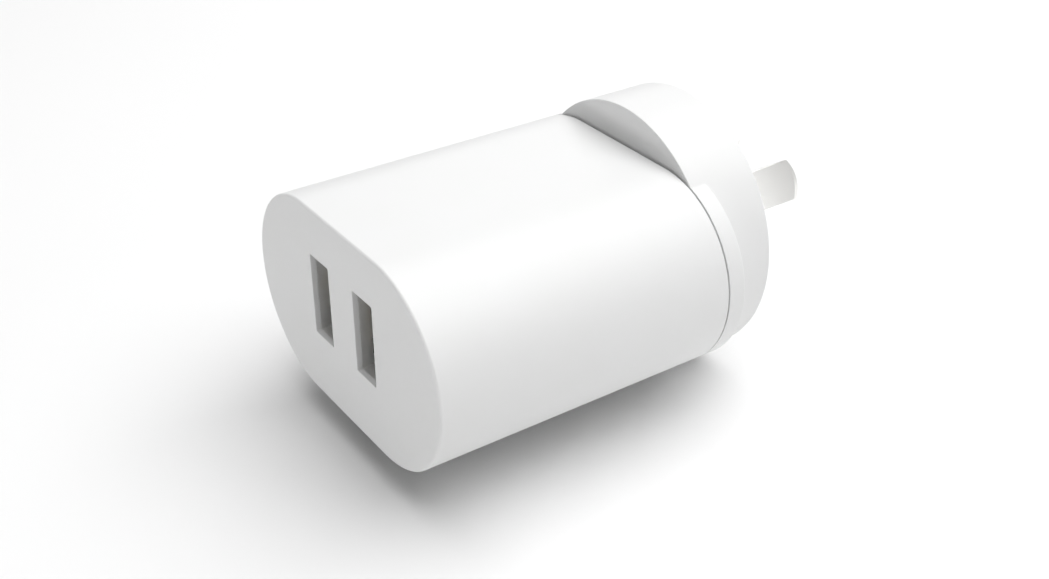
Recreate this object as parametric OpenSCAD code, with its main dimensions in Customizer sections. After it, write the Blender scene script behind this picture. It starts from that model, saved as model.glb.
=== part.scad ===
// USB wall charger: two upright USB-A ports in a stadium-section case, and a
// round rear drum that carries the two slanted blades of a 10 A mains plug.
//
// Frame: the origin is the centre of the wall face, the flat back of the drum.
// +Y points into the wall, +Z is up, and the USB ports open towards -Y.

/* [Case] */
// Width of the case over its two round sides
case_w = 50; // [46:0.5:62]
// Height of the case between its two flats
case_h = 30.2; // [28:0.2:38]
// Length of the front housing, from the front face to the seam
case_len = 47.2; // [45:0.2:60]
// Thickness of the side walls
wall = 2; // [1.6:0.1:2.4]
// Thickness of the front wall
front_wall = 2.2; // [1.8:0.1:2.8]
// Radius of the edge round the front face
front_edge_r = 0.4; // [0.2:0.1:1]
// Width of the shadow gap at the seam
seam_gap = 0.25; // [0.15:0.05:0.5]
// Depth of the shadow gap at the seam
seam_depth = 0.8; // [0.4:0.1:1.2]

/* [Rear cover] */
// Thickness of the rear cover's band, which follows the case outline
band_len = 2.8; // [2:0.1:4]
// Diameter of the drum behind the case
drum_d = 41.5; // [39:0.5:50]
// Length of the drum, from the seam to the wall face
drum_len = 11.5; // [10.5:0.1:16]
// Thickness of the drum's front wall
drum_front_wall = 2; // [1.4:0.1:2.4]
// Radius of the drum's rear edge
drum_edge_r = 0.4; // [0.2:0.1:0.8]
// Length of the lip that registers the rear cover inside the housing
lip_len = 2.5; // [1.5:0.1:3]
// Thickness of that lip
lip_t = 1.2; // [0.8:0.1:1.4]
// Gap between the lip and the housing
lip_gap = 0.1; // [0.05:0.01:0.15]

/* [Wall plate] */
// Thickness of the round plate that closes the drum
plate_t = 2.2; // [1.8:0.1:2.6]
// Width of the drum's rim round the plate
plate_rim = 1.3; // [1:0.1:1.5]
// Gap between the plate and the drum's rim
plate_gap = 0.1; // [0.05:0.01:0.2]
// Length of the bosses that grip the pins behind the plate
boss_len = 3; // [2:0.1:3.4]
// Thickness of plastic round a pin in its boss
boss_wall = 1.5; // [1.2:0.1:1.8]

/* [Plug pins] */
// Distance between the centres of the two blades
pin_pitch = 13.7; // [13.7:0.1:16.5]
// Height of the blades' centres above the middle of the wall face
pin_rise = 3.96; // [2:0.02:6]
// Slant of each blade from upright, in degrees
pin_tilt = 30; // [25:1:35]
// Width of a blade
pin_w = 6.3; // [5.4:0.05:7.6]
// Thickness of a blade
pin_t = 1.6; // [1.4:0.05:2]
// How far a blade stands out of the wall face
pin_len = 17.9; // [15:0.1:21.5]
// Radius of a blade's rounded tip
pin_tip_r = 5.1; // [4.2:0.1:8]
// Length of the bevel on both faces of the tip
pin_bevel = 1; // [0.6:0.1:1.4]
// Length of the insulating sleeve beyond the wall face
sleeve_len = 8.9; // [7.5:0.1:10.5]
// Thickness of the sleeve's wall
sleeve_t = 0.35; // [0.3:0.05:0.4]
// How far a pin's tail stands behind its boss
tail_len = 1.2; // [0.8:0.1:1.6]

/* [USB ports] */
// Distance between the centres of the two ports
port_pitch = 11.9; // [11:0.1:14.5]
// Width of a port's opening
port_w = 5.12; // [5.12:0.02:5.6]
// Height of a port's opening
port_h = 12.5; // [12.4:0.02:13]
// Height of the ports' centres above the middle of the case
port_rise = 1.5; // [0:0.1:3]
// Depth of plastic in front of the metal shells
port_lip = 0.8; // [0.6:0.1:1.2]
// Thickness of a shell's sheet steel
shell_t = 0.3; // [0.25:0.05:0.35]
// Length of a shell
shell_len = 15.2; // [14:0.1:16]
// Gap between a shell and the plastic round it
shell_gap = 0.3; // [0.15:0.05:0.4]
// Thickness of the tongue inside a port
tongue_t = 1.84; // [1.7:0.02:1.9]
// Width of the tongue
tongue_w = 11.1; // [10.8:0.1:11.3]
// Gap between the tongue's back and the shell
tongue_gap = 0.66; // [0.6:0.02:0.7]
// Distance from a shell's mouth to the tongue's tip
tongue_recess = 1.4; // [1:0.1:1.8]
// Distance from a shell's mouth to the insulator block
socket_depth = 11.2; // [10.8:0.1:11.8]
// Length of the insulator block
block_len = 6; // [6:0.1:6.8]
// Width of one contact strip
contact_w = 1; // [0.8:0.05:1.1]
// Thickness of one contact strip
contact_t = 0.2; // [0.15:0.05:0.25]

/* [Circuit board] */
// Thickness of the board
board_t = 1.6; // [1:0.1:1.6]
// Gap between the board and what holds it
board_gap = 0.1; // [0.05:0.05:0.2]
// Thickness of the rails that hold the board's edges
rail_t = 1.2; // [1:0.1:1.5]
// How far a rail reaches over the board
rail_grip = 1.2; // [0.8:0.1:1.5]

/* [Parts on the board] */
// Diameter of the high-voltage capacitors
bulk_cap_d = 10; // [8:0.5:10]
// Length of the high-voltage capacitors
bulk_cap_len = 15; // [12:0.5:15.5]
// Diameter of the output capacitors
output_cap_d = 8; // [6.3:0.1:8]
// Height of the output capacitors
output_cap_len = 12; // [8:0.5:13]
// Width of the transformer core
core_w = 19.2; // [18:0.2:19.4]
// Length of the transformer core
core_len = 16; // [15:0.2:16.4]
// Stack height of the transformer core
core_h = 4.9; // [4.6:0.1:5.2]
// Diameter of a component's round lead
lead_d = 0.6; // [0.5:0.05:0.8]
// Length of a lead below the board
lead_out = 1; // [0.6:0.1:1.5]

/* [Hidden] */
$fn = 96;
SIDES = [-1, 1];
LEFT = -1;
RIGHT = 1;
cut = 1;

// Planes along Y
seam_y = -drum_len;
front_y = seam_y - case_len;

// Case cavity
inner_w = case_w - 2 * wall;
inner_h = case_h - 2 * wall;
lip_w = inner_w - 2 * lip_gap;
lip_h = inner_h - 2 * lip_gap;
drum_bore_d = drum_d - 2 * wall;
plate_seat_d = drum_d - 2 * plate_rim;
plate_d = plate_seat_d - 2 * plate_gap;

// Plug pins
pin_x = pin_pitch / 2;
pin_core_w = pin_w - 2 * sleeve_t;
pin_core_t = pin_t - 2 * sleeve_t;
boss_y = -plate_t - boss_len;
tail_y = boss_y - tail_len;

// USB receptacles: x from the port's centre, y from the front face
shell_w = port_w + 2 * shell_t;
shell_h = port_h + 2 * shell_t;
block_y = port_lip + socket_depth;
tongue_y = port_lip + tongue_recess;
tongue_x = port_w / 2 - tongue_gap - tongue_t;
contact_z = [-3.5, -1, 1, 3.5];
groove_depth = 1.1;
groove_gap = 0.1;
block_gap = 0.1;
contact_sink = 0.25;
contact_x = tongue_x + contact_sink;
crown_y = tongue_y + 2.4;
contact_root_y = block_y - 0.1;
terminal_clear = 0.6;
terminal_w = 0.6;
terminal_pitch = 1.25;
terminal_first_y = block_y + 0.9;
leaf_y = port_lip + 2.2;
leaf_len = 5.2;
leaf_w = 2.4;
leaf_tilt = 4.5;
leaf_slot = 0.4;
leg_w = 1.4;
leg_y = [port_lip + 4.6, port_lip + 12.6];

// Circuit board
board_top = port_rise - shell_h / 2 - 0.1;
board_bottom = board_top - board_t;
lead_z = board_bottom - lead_out;
board_front = front_y + front_wall + 0.5;
board_back = seam_y - lip_len - 1;
board_side_gap = 0.5;
board_w = 2 * (inner_half_width(board_bottom) - board_side_gap);

// Places of the parts on the board
usb_back = front_y + block_y + block_len;
base_t = 3.1;
transformer_y = usb_back + 1 + core_len / 2 + 0.6;
winding_h = 12.4;
transformer_z = board_top + 1 + winding_h / 2;
leg_mid = 4.8;
leg_side = 2.5;
yoke_t = 2.4;
bobbin_wall = 0.7;
flange_t = 0.9;
tape_t = 0.15;
window_w = (core_w - leg_mid) / 2 - leg_side;
winding_w = leg_mid + 2 * window_w - 0.6;
winding_len = core_len - 2 * yoke_t - 2 * flange_t;
winding_r = 2;
winding_sink = 0.2;
base_z = transformer_z - core_h / 2;
transformer_pin_y = core_len / 2 - base_t / 2 + 0.6;
transformer_pin_x = [-5.7, -1.9, 1.9, 5.7];
bulk_cap_x = board_w / 2 - bulk_cap_d / 2 + 0.1;
bulk_cap_back = transformer_y + core_len / 2 - 1;
bulk_lead_y = bulk_cap_back + 1.4;
bulk_lead_pitch = 3;
output_cap_x = board_w / 2 - output_cap_d / 2 - 1.9;
output_cap_y = front_y + block_y - 2.3;
output_lead_pitch = 3.5;
isolation_y = bulk_cap_back - bulk_cap_len - 2.8;
isolation_x = output_cap_x;
disc_d = 7;
disc_t = 3;
disc_lead_pitch = 5;
disc_stand = 1;
opto_w = 6.5;
opto_l = 4.6;
opto_h = 3.6;
opto_stand = 0.5;
opto_lead_x = 3.81;
opto_lead_y = 1.27;
rear_row_y = board_back - 3.8;
resistor_x = -board_w / 2 + 3.2;
resistor_d = 3.6;
resistor_len = 9;
resistor_lead_pitch = 3.2;
resistor_stand = 1;
choke_x = board_w / 2 - 6;
choke_d = 6.2;
choke_h = 8;
choke_lead_pitch = 3;
choke_flange = 1.2;
choke_wire_sink = 0.3;
spring_t = 0.3;
spring_w = 4;
spring_touch = 0.05;
spring_foot_y = board_back - 1.5;
power_row_y = bulk_lead_y - 5;
chip_margin = 3;

// Round leads that pass through the board, as [x, y]
lead_sites = concat(
    [for (s = SIDES, k = SIDES) [s * bulk_cap_x + k * bulk_lead_pitch / 2, bulk_lead_y]],
    [for (s = SIDES, k = SIDES) [s * output_cap_x + k * output_lead_pitch / 2, output_cap_y]],
    [for (k = SIDES) [isolation_x + k * disc_lead_pitch / 2, isolation_y]],
    [for (k = SIDES) [k * disc_lead_pitch / 2, rear_row_y]],
    [for (k = [0, 1]) [resistor_x + k * resistor_lead_pitch, rear_row_y]],
    [for (k = SIDES) [choke_x + k * choke_lead_pitch / 2, rear_row_y]],
    [for (x = transformer_pin_x, k = SIDES) [x, transformer_y + k * transformer_pin_y]],
    [for (i = SIDES, k = SIDES) [-isolation_x + i * opto_lead_x, isolation_y + k * opto_lead_y]]);

// Half of the cavity's width at height z
function inner_half_width(z) = (inner_w - inner_h) / 2 + sqrt(pow(inner_h / 2, 2) - z * z);

// --- Shapes that several parts share ---

// Extrudes an outline drawn in X and Z from y0 to y1
module along_y(y0, y1) {
    translate([0, y1, 0]) rotate([90, 0, 0]) linear_extrude(y1 - y0) children();
}

// A rectangle with half-round ends, w wide and h high
module stadium(w, h) {
    square([w - h, h], center = true);
    for (s = SIDES) translate([s * (w - h) / 2, 0]) circle(d = h);
}

// Half section from the axis out to half, y0 to y1, with its outer corner at y0 rounded
module edge_profile(half, y0, y1, r) {
    translate([0, y0]) square([half - r, y1 - y0]);
    translate([0, y0 + r]) square([half, y1 - y0 - r]);
    translate([half - r, y0 + r]) circle(r, $fn = 48);
}

// A stadium block from y0 to y1 with a rounded edge at y0
module stadium_block(w, h, y0, y1, r) {
    for (s = SIDES) translate([s * (w - h) / 2, 0, 0]) rotate([-90, 0, 0])
        rotate_extrude() edge_profile(h / 2, y0, y1, r);
    for (m = [0, 1]) mirror([0, 0, m]) rotate([0, -90, 0])
        linear_extrude(w - h, center = true) edge_profile(h / 2, y0, y1, r);
}

// A box given by its low and high corners
module box(low, high) {
    translate(low) cube(high - low);
}

// A rectangle with rounded corners
module rounded_rect(w, h, r) {
    square([w - 2 * r, h], center = true);
    square([w, h - 2 * r], center = true);
    for (i = SIDES, j = SIDES) translate([i * (w / 2 - r), j * (h / 2 - r)]) circle(r, $fn = 32);
}

// A round rod from p to q
module rod(p, q, d) {
    v = q - p;
    translate(p) rotate([0, acos(v.z / norm(v)), atan2(v.y, v.x)]) cylinder(h = norm(v), d = d, $fn = 24);
}

// A round wire bent through points
module wire(points, d) {
    for (i = [1:len(points) - 1]) rod(points[i - 1], points[i], d);
    for (i = [1:1:len(points) - 2]) translate(points[i]) sphere(d = d, $fn = 24);
}

// Unit normal to the left of the stretch of path p that ends at point i
function left_normal(p, i) =
    let (k = max(1, min(i, len(p) - 1)), v = p[k] - p[k - 1]) [-v.y, v.x] / norm(v);

// Path p moved h to its left, with mitred bends
function path_side(p, h) = [
    for (i = [0:len(p) - 1])
        let (a = left_normal(p, i), b = left_normal(p, i + 1)) p[i] + (a + b) * h / (1 + a * b)];

// A flat strip of thickness t along a path in a plane, w wide
module strip(path, t, w) {
    right = path_side(path, -t / 2);
    linear_extrude(w, center = true)
        polygon(concat(path_side(path, t / 2), [for (i = [len(right) - 1:-1:0]) right[i]]));
}

// A capacitor can with its base at z = 0, a rolled groove above it and rounded ends
module capacitor_can(d, h) {
    edge = 0.6;
    groove_r = 0.5;
    groove_z = 1.8;
    difference() {
        rotate_extrude() {
            square([d / 2 - edge, h]);
            translate([0, edge]) square([d / 2, h - 2 * edge]);
            for (z = [edge, h - edge]) translate([d / 2 - edge, z]) circle(edge, $fn = 32);
        }
        translate([0, 0, groove_z]) rotate_extrude()
            translate([d / 2 + groove_r / 2, 0]) circle(groove_r, $fn = 32);
    }
}

// A moulded chip under the board with gull-wing legs along its two long sides
module chip(x, y, size, pins, pitch) {
    stand = 0.1;
    foot = 0.9;
    leg = [foot, 0.4, 0.2];
    translate([x, y, board_bottom]) mirror([0, 0, 1]) {
        translate([-size.x / 2, -size.y / 2, stand]) cube(size);
        for (s = SIDES, i = [0:pins - 1]) {
            leg_pos = (i - (pins - 1) / 2) * pitch;
            translate([s * (size.x / 2 + foot / 2), leg_pos, leg.z / 2]) cube(leg, center = true);
            translate([s * (size.x / 2 + leg.z / 2), leg_pos, size.z / 4 + leg.z / 2])
                cube([leg.z, leg.y, size.z / 2 + leg.z], center = true);
        }
    }
}

// --- Case ---

module front_housing() {
    pocket_w = shell_w + 2 * shell_gap;
    pocket_h = shell_h + 2 * shell_gap;
    color("whitesmoke") {
        difference() {
            stadium_block(case_w, case_h, front_y, seam_y, front_edge_r);
            along_y(front_y + front_wall, seam_y + cut) stadium(inner_w, inner_h);
            for (s = SIDES) translate([s * port_pitch / 2, 0, port_rise]) {
                along_y(front_y - cut, front_y + front_wall + cut) square([port_w, port_h], center = true);
                along_y(front_y + port_lip, front_y + front_wall + cut)
                    square([pocket_w, pocket_h], center = true);
            }
            along_y(seam_y - seam_gap, seam_y + cut) difference() {
                stadium(case_w + cut, case_h + cut);
                stadium(case_w - 2 * seam_depth, case_h - 2 * seam_depth);
            }
        }
        board_rails();
    }
}

// Rails above and below the board's two long edges, grown from the case wall
module board_rails() {
    rail_front = front_y + front_wall;
    rail_back = board_back - 2;
    intersection() {
        for (s = [0, 1], z = [board_top + board_gap, board_bottom - board_gap - rail_t]) mirror([s, 0, 0])
            box([board_w / 2 - rail_grip, rail_front - cut, z], [case_w / 2, rail_back, z + rail_t]);
        along_y(rail_front, seam_y) stadium(inner_w, inner_h);
    }
}

module rear_cover() {
    rib_x = board_w / 2 - 1.2;
    rib_w = 2;
    rib_h = 3;
    color("white") {
        difference() {
            union() {
                along_y(seam_y - lip_len, seam_y) stadium(lip_w, lip_h);
                along_y(seam_y, seam_y + band_len) stadium(case_w, case_h);
                rotate([90, 0, 0]) rotate_extrude() edge_profile(drum_d / 2, 0, drum_len, drum_edge_r);
            }
            along_y(seam_y - lip_len - cut, seam_y) stadium(lip_w - 2 * lip_t, lip_h - 2 * lip_t);
            along_y(seam_y - cut, seam_y + drum_front_wall + cut) intersection() {
                stadium(lip_w - 2 * lip_t, lip_h - 2 * lip_t);
                circle(d = drum_bore_d);
            }
            along_y(seam_y + drum_front_wall, cut) circle(d = drum_bore_d);
            along_y(-plate_t, cut) circle(d = plate_seat_d);
        }
        // Stops that keep the board against the front wall
        intersection() {
            for (s = SIDES) translate([s * rib_x, 0, 0])
                box([-rib_w / 2, board_back + board_gap, board_bottom - rib_h / 2],
                    [rib_w / 2, seam_y + drum_front_wall / 2, board_bottom + rib_h / 2]);
            along_y(board_back, 0) stadium(lip_w, lip_h);
        }
    }
}

module wall_plate() {
    edge = 0.15;
    boss_w = pin_w + 2 * boss_wall;
    boss_t = pin_t + 2 * boss_wall;
    color("white") difference() {
        union() {
            rotate([90, 0, 0]) rotate_extrude() {
                square([plate_d / 2 - edge, plate_t]);
                translate([0, edge]) square([plate_d / 2, plate_t - edge]);
            }
            for (s = SIDES) at_pin(s) along_y(boss_y, -plate_t / 2) rounded_rect(boss_t, boss_w, 1);
        }
        for (s = SIDES) at_pin(s) along_y(boss_y - cut, cut) square([pin_t, pin_w], center = true);
    }
}

// --- Plug pins: locally a blade is pin_t thick along X and pin_w wide along Z ---

module at_pin(s) {
    translate([s * pin_x, 0, pin_rise]) rotate([0, -s * pin_tilt, 0]) children();
}

module pin(s) {
    bevel_in = 0.4;
    tip_centre = pin_len - pin_tip_r;
    color("gainsboro") at_pin(s) {
        // Core inside the sleeve, and its tail behind the boss
        along_y(tail_y, sleeve_len) square([pin_core_t, pin_core_w], center = true);
        // Bare blade: full section, with a round tip bevelled on both faces
        intersection() {
            linear_extrude(pin_w, center = true) polygon([
                [-pin_t / 2, sleeve_len], [pin_t / 2, sleeve_len],
                [pin_t / 2, pin_len - pin_bevel], [pin_t / 2 - bevel_in, pin_len],
                [bevel_in - pin_t / 2, pin_len], [-pin_t / 2, pin_len - pin_bevel]]);
            rotate([0, 90, 0]) linear_extrude(pin_t + cut, center = true) {
                translate([-pin_w / 2, 0]) square([pin_w, tip_centre]);
                intersection() {
                    translate([0, tip_centre]) circle(pin_tip_r);
                    translate([-pin_w / 2, tip_centre]) square([pin_w, pin_tip_r + cut]);
                }
            }
        }
    }
}

module pin_sleeve(s) {
    color("dimgray") at_pin(s) along_y(boss_y, sleeve_len) difference() {
        square([pin_t, pin_w], center = true);
        square([pin_core_t, pin_core_w], center = true);
    }
}

// A bent leaf that carries the mains from a pin's tail to the board
module contact_spring(s) {
    touch_y = tail_y - spring_touch - spring_t / 2;
    shoulder_z = board_top + 4;
    color("goldenrod") translate([s * pin_x, 0, 0]) rotate([0, 90, 0]) rotate([0, 0, 90])
        strip([[spring_foot_y, lead_z], [spring_foot_y, shoulder_z], [touch_y - 2.2, pin_rise - 1.6],
               [touch_y, pin_rise], [touch_y - 1.6, pin_rise + 2]], spring_t, spring_w);
}

// --- USB receptacles ---

module at_port(s) {
    translate([s * port_pitch / 2, front_y, port_rise]) children();
}

module usb_shell(s) {
    leg_bottom = board_bottom - lead_out - port_rise;
    color("silver") at_port(s) {
        difference() {
            along_y(port_lip, port_lip + shell_len) difference() {
                square([shell_w, shell_h], center = true);
                square([port_w, port_h], center = true);
            }
            // Slots round the leaf springs on the two wide walls and the two narrow ones
            for (z = SIDES) translate([0, 0, z * port_h / 4]) leaf_slots(shell_w);
            rotate([0, 90, 0]) leaf_slots(shell_h);
            // Way out for the terminals
            box([tongue_x - terminal_clear, block_y + 0.4, -shell_h / 2 - cut],
                [tongue_x + 2 * terminal_clear, port_lip + shell_len + cut, 0]);
        }
        for (z = SIDES) translate([0, 0, z * port_h / 4]) leaves(port_w);
        rotate([0, 90, 0]) leaves(port_h);
        for (k = SIDES, y = leg_y) translate([k * (port_w + shell_t) / 2, y, 0])
            box([-shell_t / 2, -leg_w / 2, leg_bottom], [shell_t / 2, leg_w / 2, -port_h / 2]);
    }
}

// Openings round a pair of leaves in opposite walls of a shell that is w wide
module leaf_slots(w) {
    box([-w / 2 - cut, leaf_y - leaf_slot, -leaf_w / 2 - leaf_slot],
        [w / 2 + cut, leaf_y + leaf_len, leaf_w / 2 + leaf_slot]);
}

// A pair of leaves rooted at their rear ends and leaning into an opening w wide
module leaves(w) {
    for (m = [0, 1]) mirror([m, 0, 0]) translate([w / 2, leaf_y + leaf_len, 0]) rotate([0, 0, -leaf_tilt])
        box([0, -leaf_len, -leaf_w / 2], [shell_t, shell_t, leaf_w / 2]);
}

module usb_insulator(s) {
    block_w = port_w - 2 * block_gap;
    block_h = port_h - 2 * block_gap;
    color("darkgray") difference() {
        at_port(s) {
            along_y(block_y, block_y + block_len) square([block_w, block_h], center = true);
            box([tongue_x, tongue_y, -tongue_w / 2], [tongue_x + tongue_t, block_y + cut, tongue_w / 2]);
        }
        at_port(s) for (z = contact_z) translate([0, 0, z])
            box([tongue_x - cut, tongue_y + 0.6, -contact_w / 2 - groove_gap],
                [tongue_x + groove_depth, block_y, contact_w / 2 + groove_gap]);
        usb_terminals(s);
    }
}

// The four sprung fronts of the terminals, each crowned where a plug touches it
module usb_contacts(s) {
    color("gold") at_port(s) for (z = contact_z) translate([0, 0, z])
        strip([[contact_x, contact_root_y], [contact_x, crown_y + 1.8],
               [contact_x - 0.5, crown_y + 0.2], [contact_x - 0.5, crown_y - 0.2],
               [contact_x + 0.1, crown_y - 1.2]], contact_t, contact_w);
}

// The fixed rear ends of the terminals, fanned out one behind the other down to the board
module usb_terminals(s) {
    bottom = lead_z - port_rise;
    color("gold") at_port(s) for (i = [0:3]) {
        y = terminal_first_y + i * terminal_pitch;
        top = contact_z[i] + terminal_w / 2;
        translate([contact_x - contact_t / 2, 0, 0]) {
            box([0, block_y, top - terminal_w], [contact_t, y, top]);
            box([0, y - terminal_w / 2, bottom], [contact_t, y + terminal_w / 2, top]);
        }
    }
}

// --- Circuit board ---

module main_board() {
    hole_d = lead_d + 0.2;
    slot_gap = 0.15;
    color("darkgreen") difference() {
        box([-board_w / 2, board_front, board_bottom], [board_w / 2, board_back, board_top]);
        for (p = lead_sites) translate([p.x, p.y, board_bottom - cut])
            cylinder(h = board_t + 2 * cut, d = hole_d, $fn = 24);
        for (s = SIDES) {
            translate([s * pin_x, spring_foot_y, board_top])
                cube([spring_w + 2 * slot_gap, spring_t + 2 * slot_gap, 3 * board_t], center = true);
            translate([s * port_pitch / 2, front_y, board_top]) {
                for (k = SIDES, y = leg_y) translate([k * (port_w + shell_t) / 2, y, 0])
                    cube([shell_t + 2 * slot_gap, leg_w + 2 * slot_gap, 3 * board_t], center = true);
                for (i = [0:3]) translate([contact_x, terminal_first_y + i * terminal_pitch, 0])
                    cube([contact_t + 2 * slot_gap, terminal_w + 2 * slot_gap, 3 * board_t], center = true);
            }
        }
    }
}

// --- Transformer: the winding runs round a centre leg that lies along Y ---

module at_transformer() {
    translate([0, transformer_y, transformer_z]) children();
}

// One E-shaped ferrite half, its yoke at +Y for side 1 and at -Y for side -1
module core_half(side) {
    color("#3a3a3a") at_transformer() mirror([0, side < 0 ? 1 : 0, 0]) {
        translate([-core_w / 2, core_len / 2 - yoke_t, -core_h / 2]) cube([core_w, yoke_t, core_h]);
        for (x = [-core_w / 2, -leg_mid / 2, core_w / 2 - leg_side])
            translate([x, 0, -core_h / 2])
                cube([x == -leg_mid / 2 ? leg_mid : leg_side, core_len / 2, core_h]);
    }
}

module transformer_bobbin() {
    tube_w = leg_mid + 2 * bobbin_wall;
    tube_h = core_h + 2 * bobbin_wall;
    bobbin_len = core_len - 2 * yoke_t;
    base_w = 14.6;
    color("#1c1c1c") difference() {
        union() {
            at_transformer() {
                along_y(-bobbin_len / 2, bobbin_len / 2) square([tube_w, tube_h], center = true);
                for (m = [0, 1]) mirror([0, m, 0]) along_y(bobbin_len / 2 - flange_t, bobbin_len / 2)
                    square([winding_w, winding_h], center = true);
            }
            for (m = SIDES) translate([0, transformer_y + m * transformer_pin_y, 0])
                box([-base_w / 2, -base_t / 2, board_top + 0.4], [base_w / 2, base_t / 2, base_z]);
        }
        at_transformer() along_y(-core_len, core_len) square([leg_mid, core_h], center = true);
        transformer_pins();
    }
}

module transformer_pins() {
    color("silver") for (x = transformer_pin_x, m = SIDES)
        translate([x, transformer_y + m * transformer_pin_y, lead_z])
            cylinder(h = board_top + 1.6 - lead_z, d = lead_d, $fn = 24);
}

// Section of the winding, in by a distance from the outside of its tape
module wound_section(inset, r) {
    side = 2 * (winding_sink + inset);
    rounded_rect(winding_w - side, winding_h - side, r);
}

module transformer_winding() {
    color("chocolate") at_transformer() along_y(-winding_len / 2, winding_len / 2) difference() {
        wound_section(tape_t, winding_r);
        square([leg_mid + 2 * bobbin_wall, core_h + 2 * bobbin_wall], center = true);
    }
}

module winding_tape() {
    color("gold") at_transformer() along_y(-winding_len / 2, winding_len / 2) difference() {
        wound_section(0, winding_r + tape_t);
        wound_section(tape_t, winding_r);
    }
}

// Tape wrapped once round the outside of the two core halves
module core_tape() {
    tape_h = core_h - 0.6;
    color("gold") at_transformer() difference() {
        cube([core_w + 2 * tape_t, core_len + 2 * tape_t, tape_h], center = true);
        cube([core_w, core_len, core_h], center = true);
    }
}

// --- Through-hole parts ---

module bulk_capacitor(s) {
    z = board_top + bulk_cap_d / 2 + 0.1;
    color("#20304a") translate([s * bulk_cap_x, 0, 0]) {
        translate([0, bulk_cap_back, z]) rotate([90, 0, 0]) capacitor_can(bulk_cap_d, bulk_cap_len);
        for (k = SIDES) wire([[k * bulk_lead_pitch / 2, bulk_cap_back - 0.5, z],
                              [k * bulk_lead_pitch / 2, bulk_lead_y, z],
                              [k * bulk_lead_pitch / 2, bulk_lead_y, lead_z]], lead_d);
    }
}

module output_capacitor(s) {
    color("#3c6e91") translate([s * output_cap_x, output_cap_y, 0]) {
        translate([0, 0, board_top]) capacitor_can(output_cap_d, output_cap_len);
        for (k = SIDES) translate([k * output_lead_pitch / 2, 0, lead_z])
            cylinder(h = board_top - lead_z + 0.5, d = lead_d, $fn = 24);
    }
}

// A coated ceramic disc standing on two leads
module disc_part(x, y) {
    z = board_top + disc_d / 2 + disc_stand;
    translate([x, y, z]) rotate([90, 0, 0]) rotate_extrude() edge_lens(disc_d / 2, disc_t / 2);
    for (k = SIDES) translate([x + k * disc_lead_pitch / 2, y, lead_z])
        cylinder(h = z - lead_z - disc_stand, d = lead_d, $fn = 24);
}

// Half section of a disc with a fully rounded rim
module edge_lens(r, half_t) {
    translate([0, -half_t]) square([r - half_t, 2 * half_t]);
    intersection() {
        translate([r - half_t, 0]) circle(half_t, $fn = 32);
        translate([0, -half_t]) square([r, 2 * half_t]);
    }
}

module y_capacitor() {
    color("royalblue") disc_part(isolation_x, isolation_y);
}

module varistor() {
    color("steelblue") disc_part(0, rear_row_y);
}

module optocoupler() {
    base = board_top + opto_stand;
    color("#2b2b2b") translate([-isolation_x, isolation_y, 0]) {
        box([-opto_w / 2, -opto_l / 2, base], [opto_w / 2, opto_l / 2, base + opto_h]);
        for (i = SIDES, k = SIDES) wire([
            [i * (opto_w / 2 - 0.5), k * opto_lead_y, base + opto_h / 2],
            [i * opto_lead_x, k * opto_lead_y, base + opto_h / 2],
            [i * opto_lead_x, k * opto_lead_y, lead_z]], lead_d);
    }
}

// A wire-wound resistor standing on end, its upper lead bent back down to the board
module fusible_resistor() {
    base = board_top + resistor_stand;
    top = base + resistor_len;
    color("seagreen") {
        translate([resistor_x, rear_row_y, base]) cylinder(h = resistor_len, d = resistor_d);
        wire([[resistor_x, rear_row_y, lead_z], [resistor_x, rear_row_y, top + resistor_stand],
              [resistor_x + resistor_lead_pitch, rear_row_y, top + resistor_stand],
              [resistor_x + resistor_lead_pitch, rear_row_y, lead_z]], lead_d);
    }
}

// A ferrite bobbin with two flanges, wound with enamelled wire
module choke_core() {
    color("#3a3a3a") translate([choke_x, rear_row_y, board_top]) {
        cylinder(h = choke_h, d = choke_d / 2);
        for (z = [0, choke_h - choke_flange]) translate([0, 0, z]) cylinder(h = choke_flange, d = choke_d);
        for (k = SIDES) translate([k * choke_lead_pitch / 2, 0, lead_z - board_top])
            cylinder(h = board_top - lead_z + 0.4, d = lead_d, $fn = 24);
    }
}

module choke_winding() {
    color("chocolate") translate([choke_x, rear_row_y, board_top + choke_flange]) difference() {
        cylinder(h = choke_h - 2 * choke_flange, d = choke_d - 2 * choke_wire_sink);
        translate([0, 0, -cut]) cylinder(h = choke_h, d = choke_d / 2);
    }
}

// --- Chips under the board ---

module bridge_rectifier() {
    color("#262626") chip(-11, power_row_y, [4.4, 5, 1.5], 2, 2.5);
}

module switching_controller() {
    color("#262626") chip(11, power_row_y, [4, 5, 1.5], 4, 1.27);
}

module sync_rectifier() {
    color("#262626") chip(0, board_front + 21, [4, 5, 1.5], 4, 1.27);
}

module charge_controller() {
    color("#262626") chip(0, board_front + 6, [1.7, 2.9, 1.1], 3, 0.95);
}

module snubber_diode() {
    color("#262626") chip(0, power_row_y, [4.3, 2.6, 2], 1, 1);
}

// A row of bare chips from one side of the board inwards, their long side along X
module chip_row(s, count, y, pitch, size) {
    for (i = [0:count - 1])
        translate([s * (board_w / 2 - chip_margin - i * pitch), y, board_bottom - size.z / 2])
            cube(size, center = true);
}

module chip_resistors() {
    size = [1.6, 0.8, 0.5];
    color("#303030") {
        chip_row(LEFT, 5, board_front + 14, 2.6, size);
        chip_row(RIGHT, 5, board_front + 25, 2.6, size);
    }
}

module chip_capacitors() {
    size = [2, 1.25, 1];
    color("tan") {
        for (s = SIDES) chip_row(s, 3, board_front + 3.5, 2.8, size);
    }
}

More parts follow.
